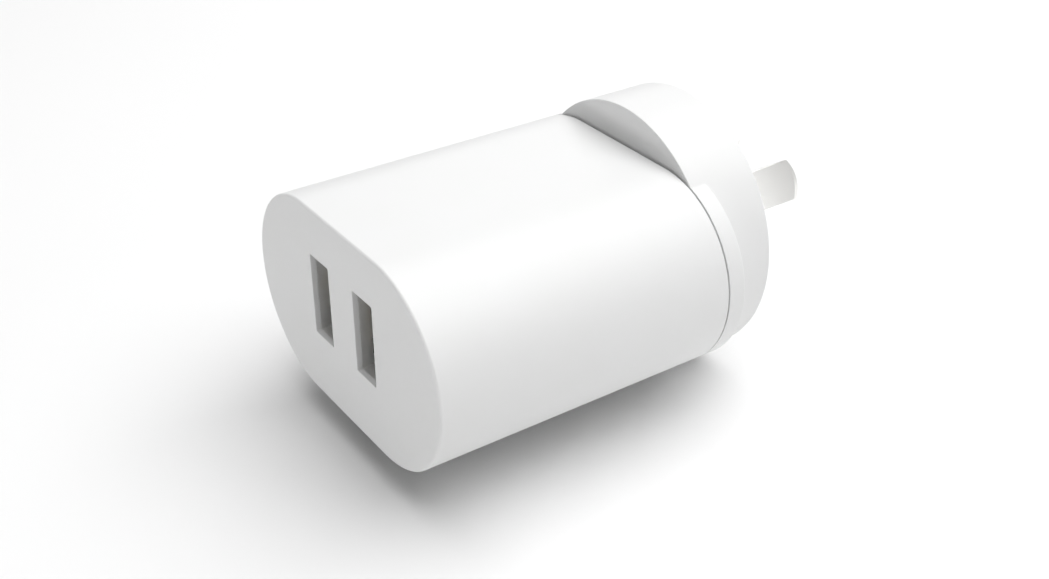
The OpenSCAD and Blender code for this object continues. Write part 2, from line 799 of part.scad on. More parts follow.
front_housing();
rear_cover();
wall_plate();
pin(LEFT);  // active_pin
pin(RIGHT);  // neutral_pin
pin_sleeve(LEFT);  // active_pin_sleeve
pin_sleeve(RIGHT);  // neutral_pin_sleeve
contact_spring(LEFT);  // active_contact_spring
contact_spring(RIGHT);  // neutral_contact_spring
main_board();
usb_shell(LEFT);  // left_usb_shell
usb_shell(RIGHT);  // right_usb_shell
usb_insulator(LEFT);  // left_usb_insulator
usb_insulator(RIGHT);  // right_usb_insulator
usb_contacts(LEFT);  // left_usb_contacts
usb_contacts(RIGHT);  // right_usb_contacts
usb_terminals(LEFT);  // left_usb_terminals
usb_terminals(RIGHT);  // right_usb_terminals
core_half(-1);  // transformer_core_front
core_half(1);  // transformer_core_rear
transformer_bobbin();
transformer_winding();
winding_tape();
core_tape();
transformer_pins();
bulk_capacitor(LEFT);  // left_bulk_capacitor
bulk_capacitor(RIGHT);  // right_bulk_capacitor
output_capacitor(LEFT);  // left_output_capacitor
output_capacitor(RIGHT);  // right_output_capacitor
y_capacitor();
optocoupler();
fusible_resistor();
varistor();
choke_core();
choke_winding();
bridge_rectifier();
switching_controller();
sync_rectifier();
charge_controller();
snubber_diode();
chip_resistors();
chip_capacitors();
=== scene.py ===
# %% [markdown]
# # A USB wall charger
#
# This lesson finishes a wall charger whose shape and sizes come from an engineering
# model. The pieces are then built again on top of it, with moulded radii, formed sheet
# metal, wound wire and rounded blades, and each gets a finish of its own.
#
# Blender works in metres, so a factor called MM keeps the small lengths readable.

# %% Load the frame
import math
import bpy
import bmesh
from mathutils import Matrix, Vector


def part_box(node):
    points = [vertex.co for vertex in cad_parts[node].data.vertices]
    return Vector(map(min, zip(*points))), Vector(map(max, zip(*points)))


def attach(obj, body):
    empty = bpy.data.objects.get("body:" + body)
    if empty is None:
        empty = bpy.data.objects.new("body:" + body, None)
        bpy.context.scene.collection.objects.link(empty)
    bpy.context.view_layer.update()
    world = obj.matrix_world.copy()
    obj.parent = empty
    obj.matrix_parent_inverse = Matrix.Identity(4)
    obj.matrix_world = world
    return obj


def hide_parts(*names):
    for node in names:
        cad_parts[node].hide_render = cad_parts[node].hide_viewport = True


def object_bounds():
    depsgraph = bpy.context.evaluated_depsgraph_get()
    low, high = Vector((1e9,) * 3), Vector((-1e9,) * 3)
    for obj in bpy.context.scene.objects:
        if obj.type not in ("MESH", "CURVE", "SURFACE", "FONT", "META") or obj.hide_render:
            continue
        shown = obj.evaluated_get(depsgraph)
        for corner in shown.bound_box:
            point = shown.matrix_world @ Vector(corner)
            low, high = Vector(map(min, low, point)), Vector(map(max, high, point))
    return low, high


MM = 0.001
SIDES = {"left": -1, "right": 1}
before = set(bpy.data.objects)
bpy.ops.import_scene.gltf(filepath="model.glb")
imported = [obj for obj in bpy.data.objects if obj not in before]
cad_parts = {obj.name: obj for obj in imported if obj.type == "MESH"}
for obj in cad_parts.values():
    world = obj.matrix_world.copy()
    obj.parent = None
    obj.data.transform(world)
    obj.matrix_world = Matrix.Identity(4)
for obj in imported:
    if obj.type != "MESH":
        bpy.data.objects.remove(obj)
cad_low, cad_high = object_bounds()

# %% [markdown]
# ## Measure the frame
#
# A piece built here has to sit exactly where the model says, so its sizes are read from
# the boxes of the sub-parts it stands for. Only what a box can't tell, such as the
# thickness of a wall or the radius of a corner, is written down as a number.

# %% Read the driving sizes
case_low, case_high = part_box("front_housing")
plate_low, plate_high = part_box("wall_plate")
board_low, board_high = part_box("main_board")
case_w = case_high.x - case_low.x
case_h = case_high.z - case_low.z
front_y = case_low.y
seam_y = case_high.y
drum_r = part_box("rear_cover")[1].z
print(f"case {case_w / MM:.1f} by {case_h / MM:.1f} mm, drum {2 * drum_r / MM:.1f} mm across")

# %% [markdown]
# ## The camera
#
# A product view from the front right and from above shows both ports and a blade in
# one picture. The camera stands close, so the far end is drawn clearly smaller, and it
# aims at the middle of the case. Aiming with `to_track_quat` keeps the horizon level.

# %% Set the camera
AZIMUTH = math.radians(55.3)
ELEVATION = math.radians(31.0)
DISTANCE = 204.5 * MM
SENSOR_WIDTH = 36
FOCAL_LENGTH = 47.77
aim = Vector((0, -28.9 * MM, -3.9 * MM))
to_camera = Vector((
    math.sin(AZIMUTH) * math.cos(ELEVATION),
    -math.cos(AZIMUTH) * math.cos(ELEVATION),
    math.sin(ELEVATION)))


def add_object(name, data):
    made = bpy.data.objects.new(name, data)
    bpy.context.scene.collection.objects.link(made)
    return made


camera = add_object("camera", bpy.data.cameras.new("camera"))
camera.data.sensor_width = SENSOR_WIDTH
camera.data.lens = FOCAL_LENGTH
camera.data.clip_start = 10 * MM
camera.location = aim + to_camera * DISTANCE
camera.rotation_euler = (-to_camera).to_track_quat("-Z", "Y").to_euler()
bpy.context.scene.camera = camera
print(f"camera {DISTANCE / MM:.0f} mm from the charger")

# %% [markdown]
# ## Outlines
#
# Almost every piece of a charger is a flat outline given depth: a stadium for the case,
# a circle for the drum, a rectangle with soft corners for a port. Each outline here is a
# function of an inset, so the same function also draws the slightly smaller copies that
# turn a sharp edge into a rounded one.

# %% Draw outlines
def arc(centre, radius, start, end, steps):
    angles = [math.radians(start + (end - start) * i / steps) for i in range(steps + 1)]
    return [(centre[0] + radius * math.cos(a), centre[1] + radius * math.sin(a)) for a in angles]


def stadium(width, height, steps=48):
    middle = (width - height) / 2

    def outline(inset=0):
        radius = height / 2 - inset
        return arc((middle, 0), radius, -90, 90, steps) + arc((-middle, 0), radius, 90, 270, steps)
    return outline


def circle(radius, steps=144):
    return lambda inset=0: arc((0, 0), radius - inset, 0, 360, steps)[:-1]


def soft_rectangle(width, height, corner, centre=(0, 0), steps=6):
    def outline(inset=0):
        r = max(corner - inset, 0.02 * MM)
        x, z = width / 2 - inset - r, height / 2 - inset - r
        turns = [((x, -z), -90), ((x, z), 0), ((-x, z), 90), ((-x, -z), 180)]
        return [p for (u, v), start in turns
                for p in arc((centre[0] + u, centre[1] + v), r, start, start + 90, steps)]
    return outline


print("a stadium has", len(stadium(case_w, case_h)()), "points")

# %% [markdown]
# ## From outline to solid
#
# `loft` joins a row of rings with four-sided faces and closes both ends, so every solid
# comes out watertight. `push` sends an outline along Y, the direction in which the
# charger goes into the wall. Its stations are a place and an inset, and a quarter circle
# of stations makes a true rounded edge that catches a thin highlight, as a moulded edge
# does. `tube` does the same for something hollow, and `lathe` for something turned.

# %% Loft, push, tube and lathe
def loft(name, rings, looped=False):
    bm = bmesh.new()
    rows = [[bm.verts.new(p) for p in ring] for ring in rings]
    pairs = list(zip(rows, rows[1:]))
    if looped:
        pairs.append((rows[-1], rows[0]))
    for a, b in pairs:
        for i in range(len(a)):
            j = (i + 1) % len(a)
            bm.faces.new((a[i], a[j], b[j], b[i]))
    if not looped:
        bm.faces.new(reversed(rows[0]))
        bm.faces.new(rows[-1])
    bmesh.ops.recalc_face_normals(bm, faces=bm.faces)
    mesh = bpy.data.meshes.new(name)
    bm.to_mesh(mesh)
    bm.free()
    return add_object(name, mesh)


def quarter_turn(steps):
    return [math.radians(90 * i / steps) for i in range(steps + 1)]


def along_y(outline, stations):
    return [[Vector((x, y, z)) for x, z in outline(inset)] for y, inset in stations]


def rounded(y0, y1, r0=0.0, r1=0.0, steps=6):
    """Stations from y0 to y1, with a quarter circle of radius r0 and r1 at the ends."""
    turn = quarter_turn(steps)
    near = [(y0 + r0 * (1 - math.cos(a)), r0 * (1 - math.sin(a))) for a in turn]
    far = [(y1 - r1 * (1 - math.cos(a)), r1 * (1 - math.sin(a))) for a in reversed(turn)]
    return (near if r0 else [(y0, 0)]) + (far if r1 else [(y1, 0)])


def push(name, outline, stations):
    return loft(name, along_y(outline, stations))


def tube(name, outer, inner, y0, y1, edge):
    stations = rounded(y0, y1, edge, edge, steps=3)
    back = [(y, -inset) for y, inset in reversed(stations)]
    return loft(name, along_y(outer, stations) + along_y(inner, back), looped=True)


def lathe(name, profile, steps=48):
    """Turns a profile of radius and height round the Z axis."""
    return loft(name, [[Vector((x, y, z)) for x, y in circle(r, steps)()] for r, z in profile])


def block(name, low, high):
    corners = ((low[0], low[2]), (high[0], low[2]), (high[0], high[2]), (low[0], high[2]))
    return loft(name, [[Vector((x, y, z)) for x, z in corners] for y in (low[1], high[1])])


# %% [markdown]
# ## Bent wire and bent strip
#
# Leads, coils and contact springs are one cross-section carried along a path. `bend`
# rounds the corners of a path as a forming tool does, and `sweep` places the section at
# each point. The section keeps one direction fixed, so a flat strip never twists.

# %% Bend and sweep
def bend(points, radius, steps=6):
    path = [Vector(p) for p in points]
    made = [path[0]]
    for before, corner, after in zip(path, path[1:], path[2:]):
        start = corner + (before - corner).normalized() * radius
        end = corner + (after - corner).normalized() * radius
        for i in range(steps + 1):
            t = i / steps
            made.append(start * (1 - t) ** 2 + corner * 2 * t * (1 - t) + end * t ** 2)
    return made + [path[-1]]


def sweep(name, path, section, across, looped=False):
    """Carries a section of (along `across`, sideways) points along a path."""
    across = Vector(across).normalized()
    last = len(path) - 1
    rings = []
    for i, point in enumerate(path):
        before = path[i - 1] if i or looped else path[0]
        after = path[(i + 1) % len(path)] if i < last or looped else path[last]
        side = (after - before).cross(across).normalized()
        rings.append([point + across * u + side * v for u, v in section])
    return loft(name, rings, looped=looped)


def wire(name, points, diameter, across=(0, 1, 0), radius=0.8 * MM):
    return sweep(name, bend(points, radius), circle(diameter / 2, steps=12)(), across)


def strip(name, path, width, thickness, across):
    section = soft_rectangle(width, thickness, thickness * 0.3, steps=2)()
    return sweep(name, path, section, across)


# %% [markdown]
# ## Cutting and joining
#
# The exact boolean solver cuts a port through a wall or welds a boss to a plate without
# leaving loose faces. The result is applied at once, so each piece ends as plain mesh.
# Stamped and pressed pieces also get a fine bevel on every edge sharper than 40 degrees.

# %% Boolean, bevel and place
BEVEL_ANGLE = math.radians(40)


def bake(piece):
    ready = piece.evaluated_get(bpy.context.evaluated_depsgraph_get())
    mesh = bpy.data.meshes.new_from_object(ready)
    piece.modifiers.clear()
    piece.data = mesh
    return piece


def combine(piece, operation, others):
    for other in others:
        step = piece.modifiers.new(operation, "BOOLEAN")
        step.operation = operation
        step.object = other
        step.solver = "EXACT"
        bake(piece)
        bpy.data.objects.remove(other)
    return piece


def cut(piece, *others):
    return combine(piece, "DIFFERENCE", others)


def weld(piece, *others):
    return combine(piece, "UNION", others)


def soften(piece, width, segments=2):
    edges = piece.modifiers.new("soft_edges", "BEVEL")
    edges.width = width
    edges.segments = segments
    edges.limit_method = "ANGLE"
    edges.angle_limit = BEVEL_ANGLE
    return bake(piece)


def move(piece, matrix):
    piece.data.transform(matrix)
    return piece


def gather(name, parts):
    """Puts separate solids of one kind into one piece."""
    bm = bmesh.new()
    for part in parts:
        bm.from_mesh(part.data)
        bpy.data.objects.remove(part)
    mesh = bpy.data.meshes.new(name)
    bm.to_mesh(mesh)
    bm.free()
    return add_object(name, mesh)


# %% [markdown]
# ## Finish a piece
#
# Faces are shaded smooth, but an edge sharper than 32 degrees stays an edge. The
# weighted-normal modifier then keeps the large flat faces flat right up to their rounded
# borders, which is what makes a small radius read as moulded plastic. Each piece rides
# on the body it belongs to, and the sub-parts of the model it stands for are hidden.

# %% Shade, paint and attach
SHARP_ANGLE = math.radians(32)


def complete(piece, material, stands_for=(), body="charger"):
    mesh = piece.data
    mesh.materials.clear()
    mesh.materials.append(material)
    mesh.polygons.foreach_set("use_smooth", [True] * len(mesh.polygons))
    mesh.set_sharp_from_angle(angle=SHARP_ANGLE)
    weighted = piece.modifiers.new("flat_faces", "WEIGHTED_NORMAL")
    weighted.keep_sharp = True
    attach(piece, body)
    if stands_for:
        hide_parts(*stands_for)
    print(f"{piece.name}: {len(mesh.polygons)} faces")
    return piece


# %% [markdown]
# ## Finishes from a few building blocks
#
# No finish here is one flat colour. Each mixes two close colours with a slow noise,
# varies its gloss with a finer one, and adds a bump at the size of the real texture.
# Object coordinates are in metres, so the scale of a noise is one over its grain size.
# Many finishes differ only in their numbers, and `grained` makes those in one call.

# %% Material helpers
WAVE_LENGTH = 0.314


class Finish:
    """A material, with short words for the nodes that this charger needs."""

    def __init__(self, name, metallic=0.0, ior=1.5):
        self.material = bpy.data.materials.new(name)
        self.material.use_nodes = True
        self.nodes = self.material.node_tree.nodes
        self.links = self.material.node_tree.links
        self.shader = self.nodes["Principled BSDF"]
        self.shader.inputs["Metallic"].default_value = metallic
        self.shader.inputs["IOR"].default_value = ior

    def space(self, stretch=(1, 1, 1)):
        coords = self.nodes.new("ShaderNodeTexCoord")
        mapping = self.nodes.new("ShaderNodeMapping")
        mapping.inputs["Scale"].default_value = stretch
        self.links.new(coords.outputs["Object"], mapping.inputs["Vector"])
        return mapping.outputs["Vector"]

    def noise(self, grain, detail=3.0, space=None):
        texture = self.nodes.new("ShaderNodeTexNoise")
        texture.inputs["Scale"].default_value = 1 / grain
        texture.inputs["Detail"].default_value = detail
        self.links.new(space or self.space(), texture.inputs["Vector"])
        return texture.outputs["Fac"]

    def wave(self, pitch, space, distortion=0.0, direction="X"):
        """Bands at a real pitch: at scale 1, one wave of the texture is WAVE_LENGTH long."""
        texture = self.nodes.new("ShaderNodeTexWave")
        texture.inputs["Scale"].default_value = WAVE_LENGTH / pitch
        texture.inputs["Distortion"].default_value = distortion
        texture.bands_direction = direction
        self.links.new(space, texture.inputs["Vector"])
        return texture.outputs["Fac"]

    def spread(self, value, low, high, from_low=0.3, from_high=0.7):
        reach = self.nodes.new("ShaderNodeMapRange")
        ends = {"From Min": from_low, "From Max": from_high, "To Min": low, "To Max": high}
        for name, number in ends.items():
            reach.inputs[name].default_value = number
        self.links.new(value, reach.inputs["Value"])
        return reach.outputs["Result"]

    def blend(self, factor, first, second):
        mix = self.nodes.new("ShaderNodeMix")
        mix.data_type = "RGBA"
        self.links.new(factor, mix.inputs[0])
        for socket, colour in ((mix.inputs[6], first), (mix.inputs[7], second)):
            if isinstance(colour, tuple):
                socket.default_value = (*colour, 1)
            else:
                self.links.new(colour, socket)
        return mix.outputs[2]

    def add(self, first, second):
        total = self.nodes.new("ShaderNodeMath")
        self.links.new(first, total.inputs[0])
        self.links.new(second, total.inputs[1])
        return total.outputs["Value"]

    def wear(self, colour, gloss, height, depth):
        """Connects colour, roughness and a bump of that depth."""
        relief = self.nodes.new("ShaderNodeBump")
        relief.inputs["Distance"].default_value = depth
        self.links.new(height, relief.inputs["Height"])
        self.links.new(relief.outputs["Normal"], self.shader.inputs["Normal"])
        self.links.new(colour, self.shader.inputs["Base Color"])
        self.links.new(gloss, self.shader.inputs["Roughness"])
        print("finish:", self.material.name)
        return self.material


def grained(name, dark, light, cloud, grain, roughness, depth, stretch=(1, 1, 1), detail=4.0, **kind):
    """Two slowly clouded colours and one fine grain for gloss and relief, sizes in millimetres."""
    finish = Finish(name, **kind)
    fine = finish.noise(grain * MM, detail, finish.space(stretch))
    colour = finish.blend(finish.noise(cloud * MM), dark, light)
    return finish.wear(colour, finish.spread(fine, *roughness), fine, depth * MM)


# %% [markdown]
# ## White moulded plastic
#
# The case is white polycarbonate from a finely spark-eroded mould: a satin surface whose
# grain is about a fifth of a millimetre. A fine noise drives both the bump and the gloss,
# and a slow noise, as wide as a fingertip, warms and cools the white by a hair.

# %% White plastic
def moulded_white():
    finish = Finish("white_moulding", ior=1.49)
    colour = finish.blend(finish.noise(12 * MM), (0.795, 0.797, 0.79), (0.82, 0.822, 0.825))
    grain = finish.noise(0.2 * MM, detail=2.0)
    gloss = finish.spread(finish.noise(0.7 * MM), 0.40, 0.52)
    return finish.wear(colour, gloss, grain, 0.004 * MM)


white_moulding = moulded_white()

# %% [markdown]
# ## The front housing
#
# One deep moulding: a stadium-shaped tube closed by its front wall. It could be a solid
# with the solidify modifier, but then the ports and rails would have no true edges, so
# it is pushed along Y and then cut. The front edge has a small radius, and the rear edge
# steps in to leave a shadow gap at the seam.

# %% Push the shell
WALL = 2.0 * MM
FRONT_WALL = 2.2 * MM
FRONT_EDGE = 0.4 * MM
SEAM_GAP = 0.25 * MM
SEAM_DEPTH = 0.8 * MM
SEAM_EDGE = 0.08 * MM
CUT_PAST = 1 * MM
CAVITY_CORNER = 0.6 * MM
housing = push("housing_moulding", stadium(case_w, case_h), [
    *rounded(front_y, seam_y - SEAM_GAP, FRONT_EDGE, SEAM_EDGE),
    (seam_y - SEAM_GAP, SEAM_DEPTH),
    (seam_y, SEAM_DEPTH)])
cavity = stadium(case_w - 2 * WALL, case_h - 2 * WALL)
cavity_y = front_y + FRONT_WALL
hollow = [(cavity_y, CAVITY_CORNER), (cavity_y + CAVITY_CORNER, 0), (seam_y + CUT_PAST, 0)]
cut(housing, push("cavity", cavity, hollow))

# %% [markdown]
# ## Two ports through the front wall
#
# A port is a narrow upright hole, with a wider pocket behind it that takes the metal
# shell, so a thin frame of white plastic shows round the metal. The cutter flares at its
# mouth, and that leaves a soft rim without a bevel on the finished mesh.

# %% Cut the ports
SHEET = 0.3 * MM
PORT_LIP = 0.8 * MM
PORT_RIM = 0.12 * MM
SHELL_GAP = 0.3 * MM
PORT_CUT = 4 * MM
shells = {side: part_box(f"{side}_usb_shell") for side in SIDES}
port_x = {side: (low.x + high.x) / 2 for side, (low, high) in shells.items()}
shell_w = shells["left"][1].x - shells["left"][0].x
port_w = shell_w - 2 * SHEET
port_h = 12.5 * MM
shell_h = port_h + 2 * SHEET
port_z = shells["left"][1].z - shell_h / 2


def port_cutter(side):
    outline = soft_rectangle(port_w, port_h, 0.2 * MM, centre=(port_x[side], port_z))
    mouth = [(front_y + PORT_RIM * (1 - math.cos(a)), PORT_RIM * (math.sin(a) - 1)) for a in quarter_turn(6)]
    return push("port", outline, [(front_y - CUT_PAST, -PORT_RIM), *mouth, (front_y + PORT_CUT, 0)])


def shell_pocket(side):
    outline = soft_rectangle(shell_w + 2 * SHELL_GAP, shell_h + 2 * SHELL_GAP, 0.6 * MM,
                             centre=(port_x[side], port_z))
    return push("pocket", outline, [(front_y + PORT_LIP, 0), (front_y + PORT_CUT, 0)])


for side in SIDES:
    cut(housing, port_cutter(side), shell_pocket(side))
print(f"ports {port_w / MM:.2f} by {port_h / MM:.1f} mm")

# %% [markdown]
# ## Rails for the board
#
# The circuit board slides in between two pairs of rails on the side walls. Each rail is
# pushed into the middle of the wall, which curves, so the wall's half width is worked
# out at the height of the rail.

# %% Add the rails
RAIL = 1.2 * MM
BOARD_GAP = 0.1 * MM


def wall_middle(z):
    """Half the width of the case at height z, measured to the middle of its wall."""
    radius = (case_h - WALL) / 2
    return (case_w - case_h) / 2 + math.sqrt(radius ** 2 - z ** 2)


for direction in SIDES.values():
    for z in (board_high.z + BOARD_GAP + RAIL / 2, board_low.z - BOARD_GAP - RAIL / 2):
        near, far = board_high.x - RAIL, wall_middle(z)
        rail = soft_rectangle(far - near, RAIL, 0.2 * MM, centre=(direction * (near + far) / 2, z))
        stations = rounded(front_y + FRONT_WALL / 2, board_high.y - 2 * MM, 0, 0.3 * MM)
        weld(housing, push("rail", rail, stations))
complete(housing, white_moulding, ["front_housing"])

# %% [markdown]
# ## The rear cover
#
# The cover is a band with the outline of the case and a round drum behind it, moulded
# as one, so the two pushes are welded. Its lip reaches into the housing and keeps the
# two in line. The drum is hollow, and its rear rim is stepped to take the wall plate.

# %% Build the rear cover
BAND = 2.8 * MM
DRUM_FRONT = 2.0 * MM
LIP = 1.2 * MM
LIP_LENGTH = 2.5 * MM
LIP_GAP = 0.1 * MM
RIM = 1.3 * MM
PLATE_T = 2.2 * MM
lip_w = case_w - 2 * (WALL + LIP_GAP)
lip_h = case_h - 2 * (WALL + LIP_GAP)
throat = stadium(lip_w - 2 * LIP, lip_h - 2 * LIP)
band = rounded(seam_y, seam_y + BAND, SEAM_EDGE, 0.25 * MM)
cover = push("cover_moulding", stadium(case_w, case_h), band)
weld(cover,
     push("drum", circle(drum_r, steps=192), rounded(seam_y, 0, 0.15 * MM, 0.4 * MM)),
     push("lip", stadium(lip_w, lip_h), rounded(seam_y - LIP_LENGTH, seam_y + BAND / 2, 0.3 * MM)))
bore = push("bore", circle(drum_r - WALL), [(seam_y - CUT_PAST, 0), (0, 0)])
opening = push("opening", throat, [(seam_y - 0.5 * MM, 0), (seam_y + DRUM_FRONT + 0.5 * MM, 0)])
combine(opening, "INTERSECT", [bore])
rebate = [(-PLATE_T, 0), (-0.2 * MM, 0), (0, -0.15 * MM), (CUT_PAST, -0.15 * MM)]
cut(cover,
    push("throat", throat, [(seam_y - LIP_LENGTH - CUT_PAST, 0), (seam_y, 0)]),
    opening,
    push("drum_cavity", circle(drum_r - WALL), [(seam_y + DRUM_FRONT, 0), (CUT_PAST, 0)]),
    push("rebate", circle(drum_r - RIM), rebate))

# %% [markdown]
# ## Stops for the board
#
# Two ribs reach forward from the drum's front wall and press the board against the front
# of the housing. They are pushed from a soft rectangle and welded on.

# %% Add the stops
STOP = 2.0 * MM
for direction in SIDES.values():
    spot = (direction * (board_high.x - 1.2 * MM), board_low.z)
    stop = soft_rectangle(STOP, 1.5 * STOP, 0.2 * MM, centre=spot)
    weld(cover, push("stop", stop, rounded(board_high.y + BOARD_GAP, seam_y + DRUM_FRONT / 2, 0.2 * MM)))
complete(cover, white_moulding, ["rear_cover"])

# %% [markdown]
# ## The wall plate
#
# A thin disc closes the drum and holds the blades. Behind it two bosses grip the blades,
# so they are turned to the same slant. Locally a blade is thin along X and wide along Z,
# and one matrix per side carries everything that belongs to it into place.

# %% Build the wall plate
PIN_W = 6.3 * MM
PIN_T = 1.6 * MM
BOSS_WALL = 1.5 * MM
PIN_TILT = math.radians(30)
boss_y = plate_low.y
pins = {"active": "left", "neutral": "right"}
pin_boxes = {name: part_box(f"{name}_pin") for name in pins}


def at_pin(name):
    low, high = pin_boxes[name]
    centre = Vector(((low.x + high.x) / 2, 0, (low.z + high.z) / 2))
    return Matrix.Translation(centre) @ Matrix.Rotation(-SIDES[pins[name]] * PIN_TILT, 4, "Y")


plate = push("plate_moulding", circle(plate_high.x, steps=192), rounded(-PLATE_T, 0, 0.15 * MM, 0.2 * MM))
for name in pins:
    boss = soft_rectangle(PIN_T + 2 * BOSS_WALL, PIN_W + 2 * BOSS_WALL, 1 * MM)
    weld(plate, move(push("boss", boss, rounded(boss_y, -PLATE_T / 2, 0.2 * MM)), at_pin(name)))
blade_hole = soft_rectangle(PIN_T, PIN_W, 0.2 * MM)
flared = [(boss_y - CUT_PAST, 0), (-0.15 * MM, 0), (0, -0.1 * MM), (CUT_PAST, -0.1 * MM)]
for name in pins:
    cut(plate, move(push("blade_hole", blade_hole, flared), at_pin(name)))
complete(plate, white_moulding, ["wall_plate"])

# %% [markdown]
# ## Plated blades
#
# The blades are brass with a satin nickel plate. Every trip into a socket drags along
# their length, so the fine scratches run along Y: the noise is stretched fifty times in
# that direction. The same scratches drive the gloss.

# %% Nickel plate
nickel = grained("nickel_plate", dark=(0.87, 0.865, 0.845), light=(0.91, 0.905, 0.89), cloud=2.5, grain=0.09,
                 roughness=(0.20, 0.27), depth=0.0001, stretch=(1, 0.02, 1), metallic=1.0)

# %% [markdown]
# ## The shape of a blade
#
# A blade is stamped from flat bar, its tip is rounded and both faces are bevelled so it
# finds the socket. Its outline is drawn in the Y-Z plane and lofted across the thickness:
# near each face the outline shrinks a little all round, and more at the tip.

# %% Build the blades
SLEEVE_END = 8.9 * MM
SLEEVE_T = 0.35 * MM
TIP_R = 5.1 * MM
BEVEL_LENGTH = 1.0 * MM
BEVEL_DEPTH = 0.4 * MM
BLADE_EDGE = 0.16 * MM
blade_end = pin_boxes["neutral"][1].y
tail_y = pin_boxes["neutral"][0].y
core = soft_rectangle(PIN_T - 2 * SLEEVE_T, PIN_W - 2 * SLEEVE_T, 0.1 * MM)


def blade_ring(x, side_inset):
    half = PIN_W / 2 - side_inset
    tip_inset = max(0, (abs(x) - PIN_T / 2 + BEVEL_DEPTH) / BEVEL_DEPTH) * BEVEL_LENGTH
    swing = math.degrees(math.asin(half / TIP_R))
    tip = arc((blade_end - TIP_R - tip_inset, 0), TIP_R, -swing, swing, 20)
    return [Vector((x, y, z)) for y, z in [(SLEEVE_END, -half), *tip, (SLEEVE_END, half)]]


def blade(name):
    edge = [(PIN_T / 2 - BLADE_EDGE * (1 - math.cos(a)), BLADE_EDGE * (1 - math.sin(a)))
            for a in quarter_turn(4)]
    across = [(-x, inset) for x, inset in edge]
    across += [(BEVEL_DEPTH - PIN_T / 2, 0), (PIN_T / 2 - BEVEL_DEPTH, 0)]
    across += list(reversed(edge))
    made = loft(f"{name}_blade", [blade_ring(x, inset) for x, inset in across])
    weld(made, push("core", core, rounded(tail_y, SLEEVE_END + 0.5 * MM, 0.15 * MM)))
    return move(made, at_pin(name))


for name in pins:
    complete(blade(name), nickel, [f"{name}_pin"])

# %% [markdown]
# ## Insulating sleeves
#
# A black nylon sleeve covers the root of each blade, so a finger can't touch live metal
# when the plug is half out. It is flush with the bare blade, because it is moulded into
# a step in the metal. The plastic is matte, with a fine even grain.

# %% Sleeve plastic and sleeves
def matte_black(name, grain, roughness):
    return grained(name, dark=(0.022, 0.022, 0.024), light=(0.038, 0.038, 0.040), cloud=3, grain=grain,
                   roughness=roughness, depth=0.004, detail=3.0)


sleeve_black = matte_black("sleeve_black", 0.15, (0.5, 0.65))
sleeve_outline = soft_rectangle(PIN_T, PIN_W, 0.16 * MM)
for name in pins:
    sleeve = tube(f"{name}_sleeve", sleeve_outline, core, boss_y, SLEEVE_END, 0.05 * MM)
    complete(move(sleeve, at_pin(name)), sleeve_black, [f"{name}_pin_sleeve"])

# %% [markdown]
# ## The metal shells of the USB ports
#
# Each receptacle is a rectangular sleeve folded from thin tinned steel. Six leaves are
# stamped out of its walls and lean inwards to grip the plug, and four legs go down
# through the board. The tube is looped, and the windows round the leaves are cut from it.

# %% Tinned steel
def tinned_steel(name, dark, light, roughness):
    return grained(name, dark, light, cloud=1.8, grain=0.1, roughness=roughness, depth=0.002,
                   stretch=(1, 0.08, 1), metallic=1.0)


shell_tin = tinned_steel("shell_tin", (0.76, 0.76, 0.75), (0.83, 0.83, 0.82), (0.5, 0.66))

# %% Shape a shell
SHELL_LENGTH = 15.2 * MM
LEAF_W = 2.4 * MM
LEAF_LENGTH = 5.2 * MM
LEAF_SLOT = 0.4 * MM
LEAF_IN = 0.38 * MM
LEG_W = 1.4 * MM
LEAD_OUT = 1.0 * MM
leaf_tip = PORT_LIP + 2.2 * MM
leaf_root = leaf_tip + LEAF_LENGTH
leg_places = (PORT_LIP + 4.6 * MM, PORT_LIP + 12.6 * MM)


def at_port(side):
    return Matrix.Translation((port_x[side], front_y, port_z))


def leaf_frames():
    """Every leaf's place as a turn about Y, a height along the wall, and the wall's distance."""
    wide = [(turn, z * port_h / 4, port_w / 2) for turn in (0, 180) for z in (-1, 1)]
    narrow = [(turn, 0, port_h / 2) for turn in (90, 270)]
    return [(Matrix.Rotation(math.radians(turn), 4, "Y"), z, wall) for turn, z, wall in wide + narrow]


def leaf(turn, z, wall):
    middle = wall + SHEET / 2
    route = [(middle, leaf_root + 0.3 * MM, z), (middle, leaf_root - 0.8 * MM, z),
             (middle - LEAF_IN, leaf_tip + 1.4 * MM, z), (middle - 0.6 * LEAF_IN, leaf_tip, z)]
    return move(strip("leaf", bend(route, 0.5 * MM), LEAF_W, SHEET * 0.9, (0, 0, 1)), turn)


def window(turn, z, wall):
    half = LEAF_W / 2 + LEAF_SLOT
    low = (wall - 0.3 * MM, leaf_tip - LEAF_SLOT, z - half)
    return move(block("window", low, (wall + CUT_PAST, leaf_root, z + half)), turn)


def leg(x, y, bottom):
    profile = [(-LEG_W / 2, -port_h / 2 + 1 * MM), (-LEG_W / 2, bottom + 0.5 * MM), (-LEG_W / 5, bottom),
               (LEG_W / 5, bottom), (LEG_W / 2, bottom + 0.5 * MM), (LEG_W / 2, -port_h / 2 + 1 * MM)]
    half = SHEET * 0.46
    return loft("leg", [[Vector((x + s * half, y + u, v)) for u, v in profile] for s in (-1, 1)])


# %% Build both shells
TONGUE_T = 1.84 * MM
TONGUE_GAP = 0.66 * MM
SOCKET_DEPTH = 11.2 * MM
block_y = PORT_LIP + SOCKET_DEPTH
tongue_x = port_w / 2 - TONGUE_GAP - TONGUE_T
lead_z = board_low.z - LEAD_OUT


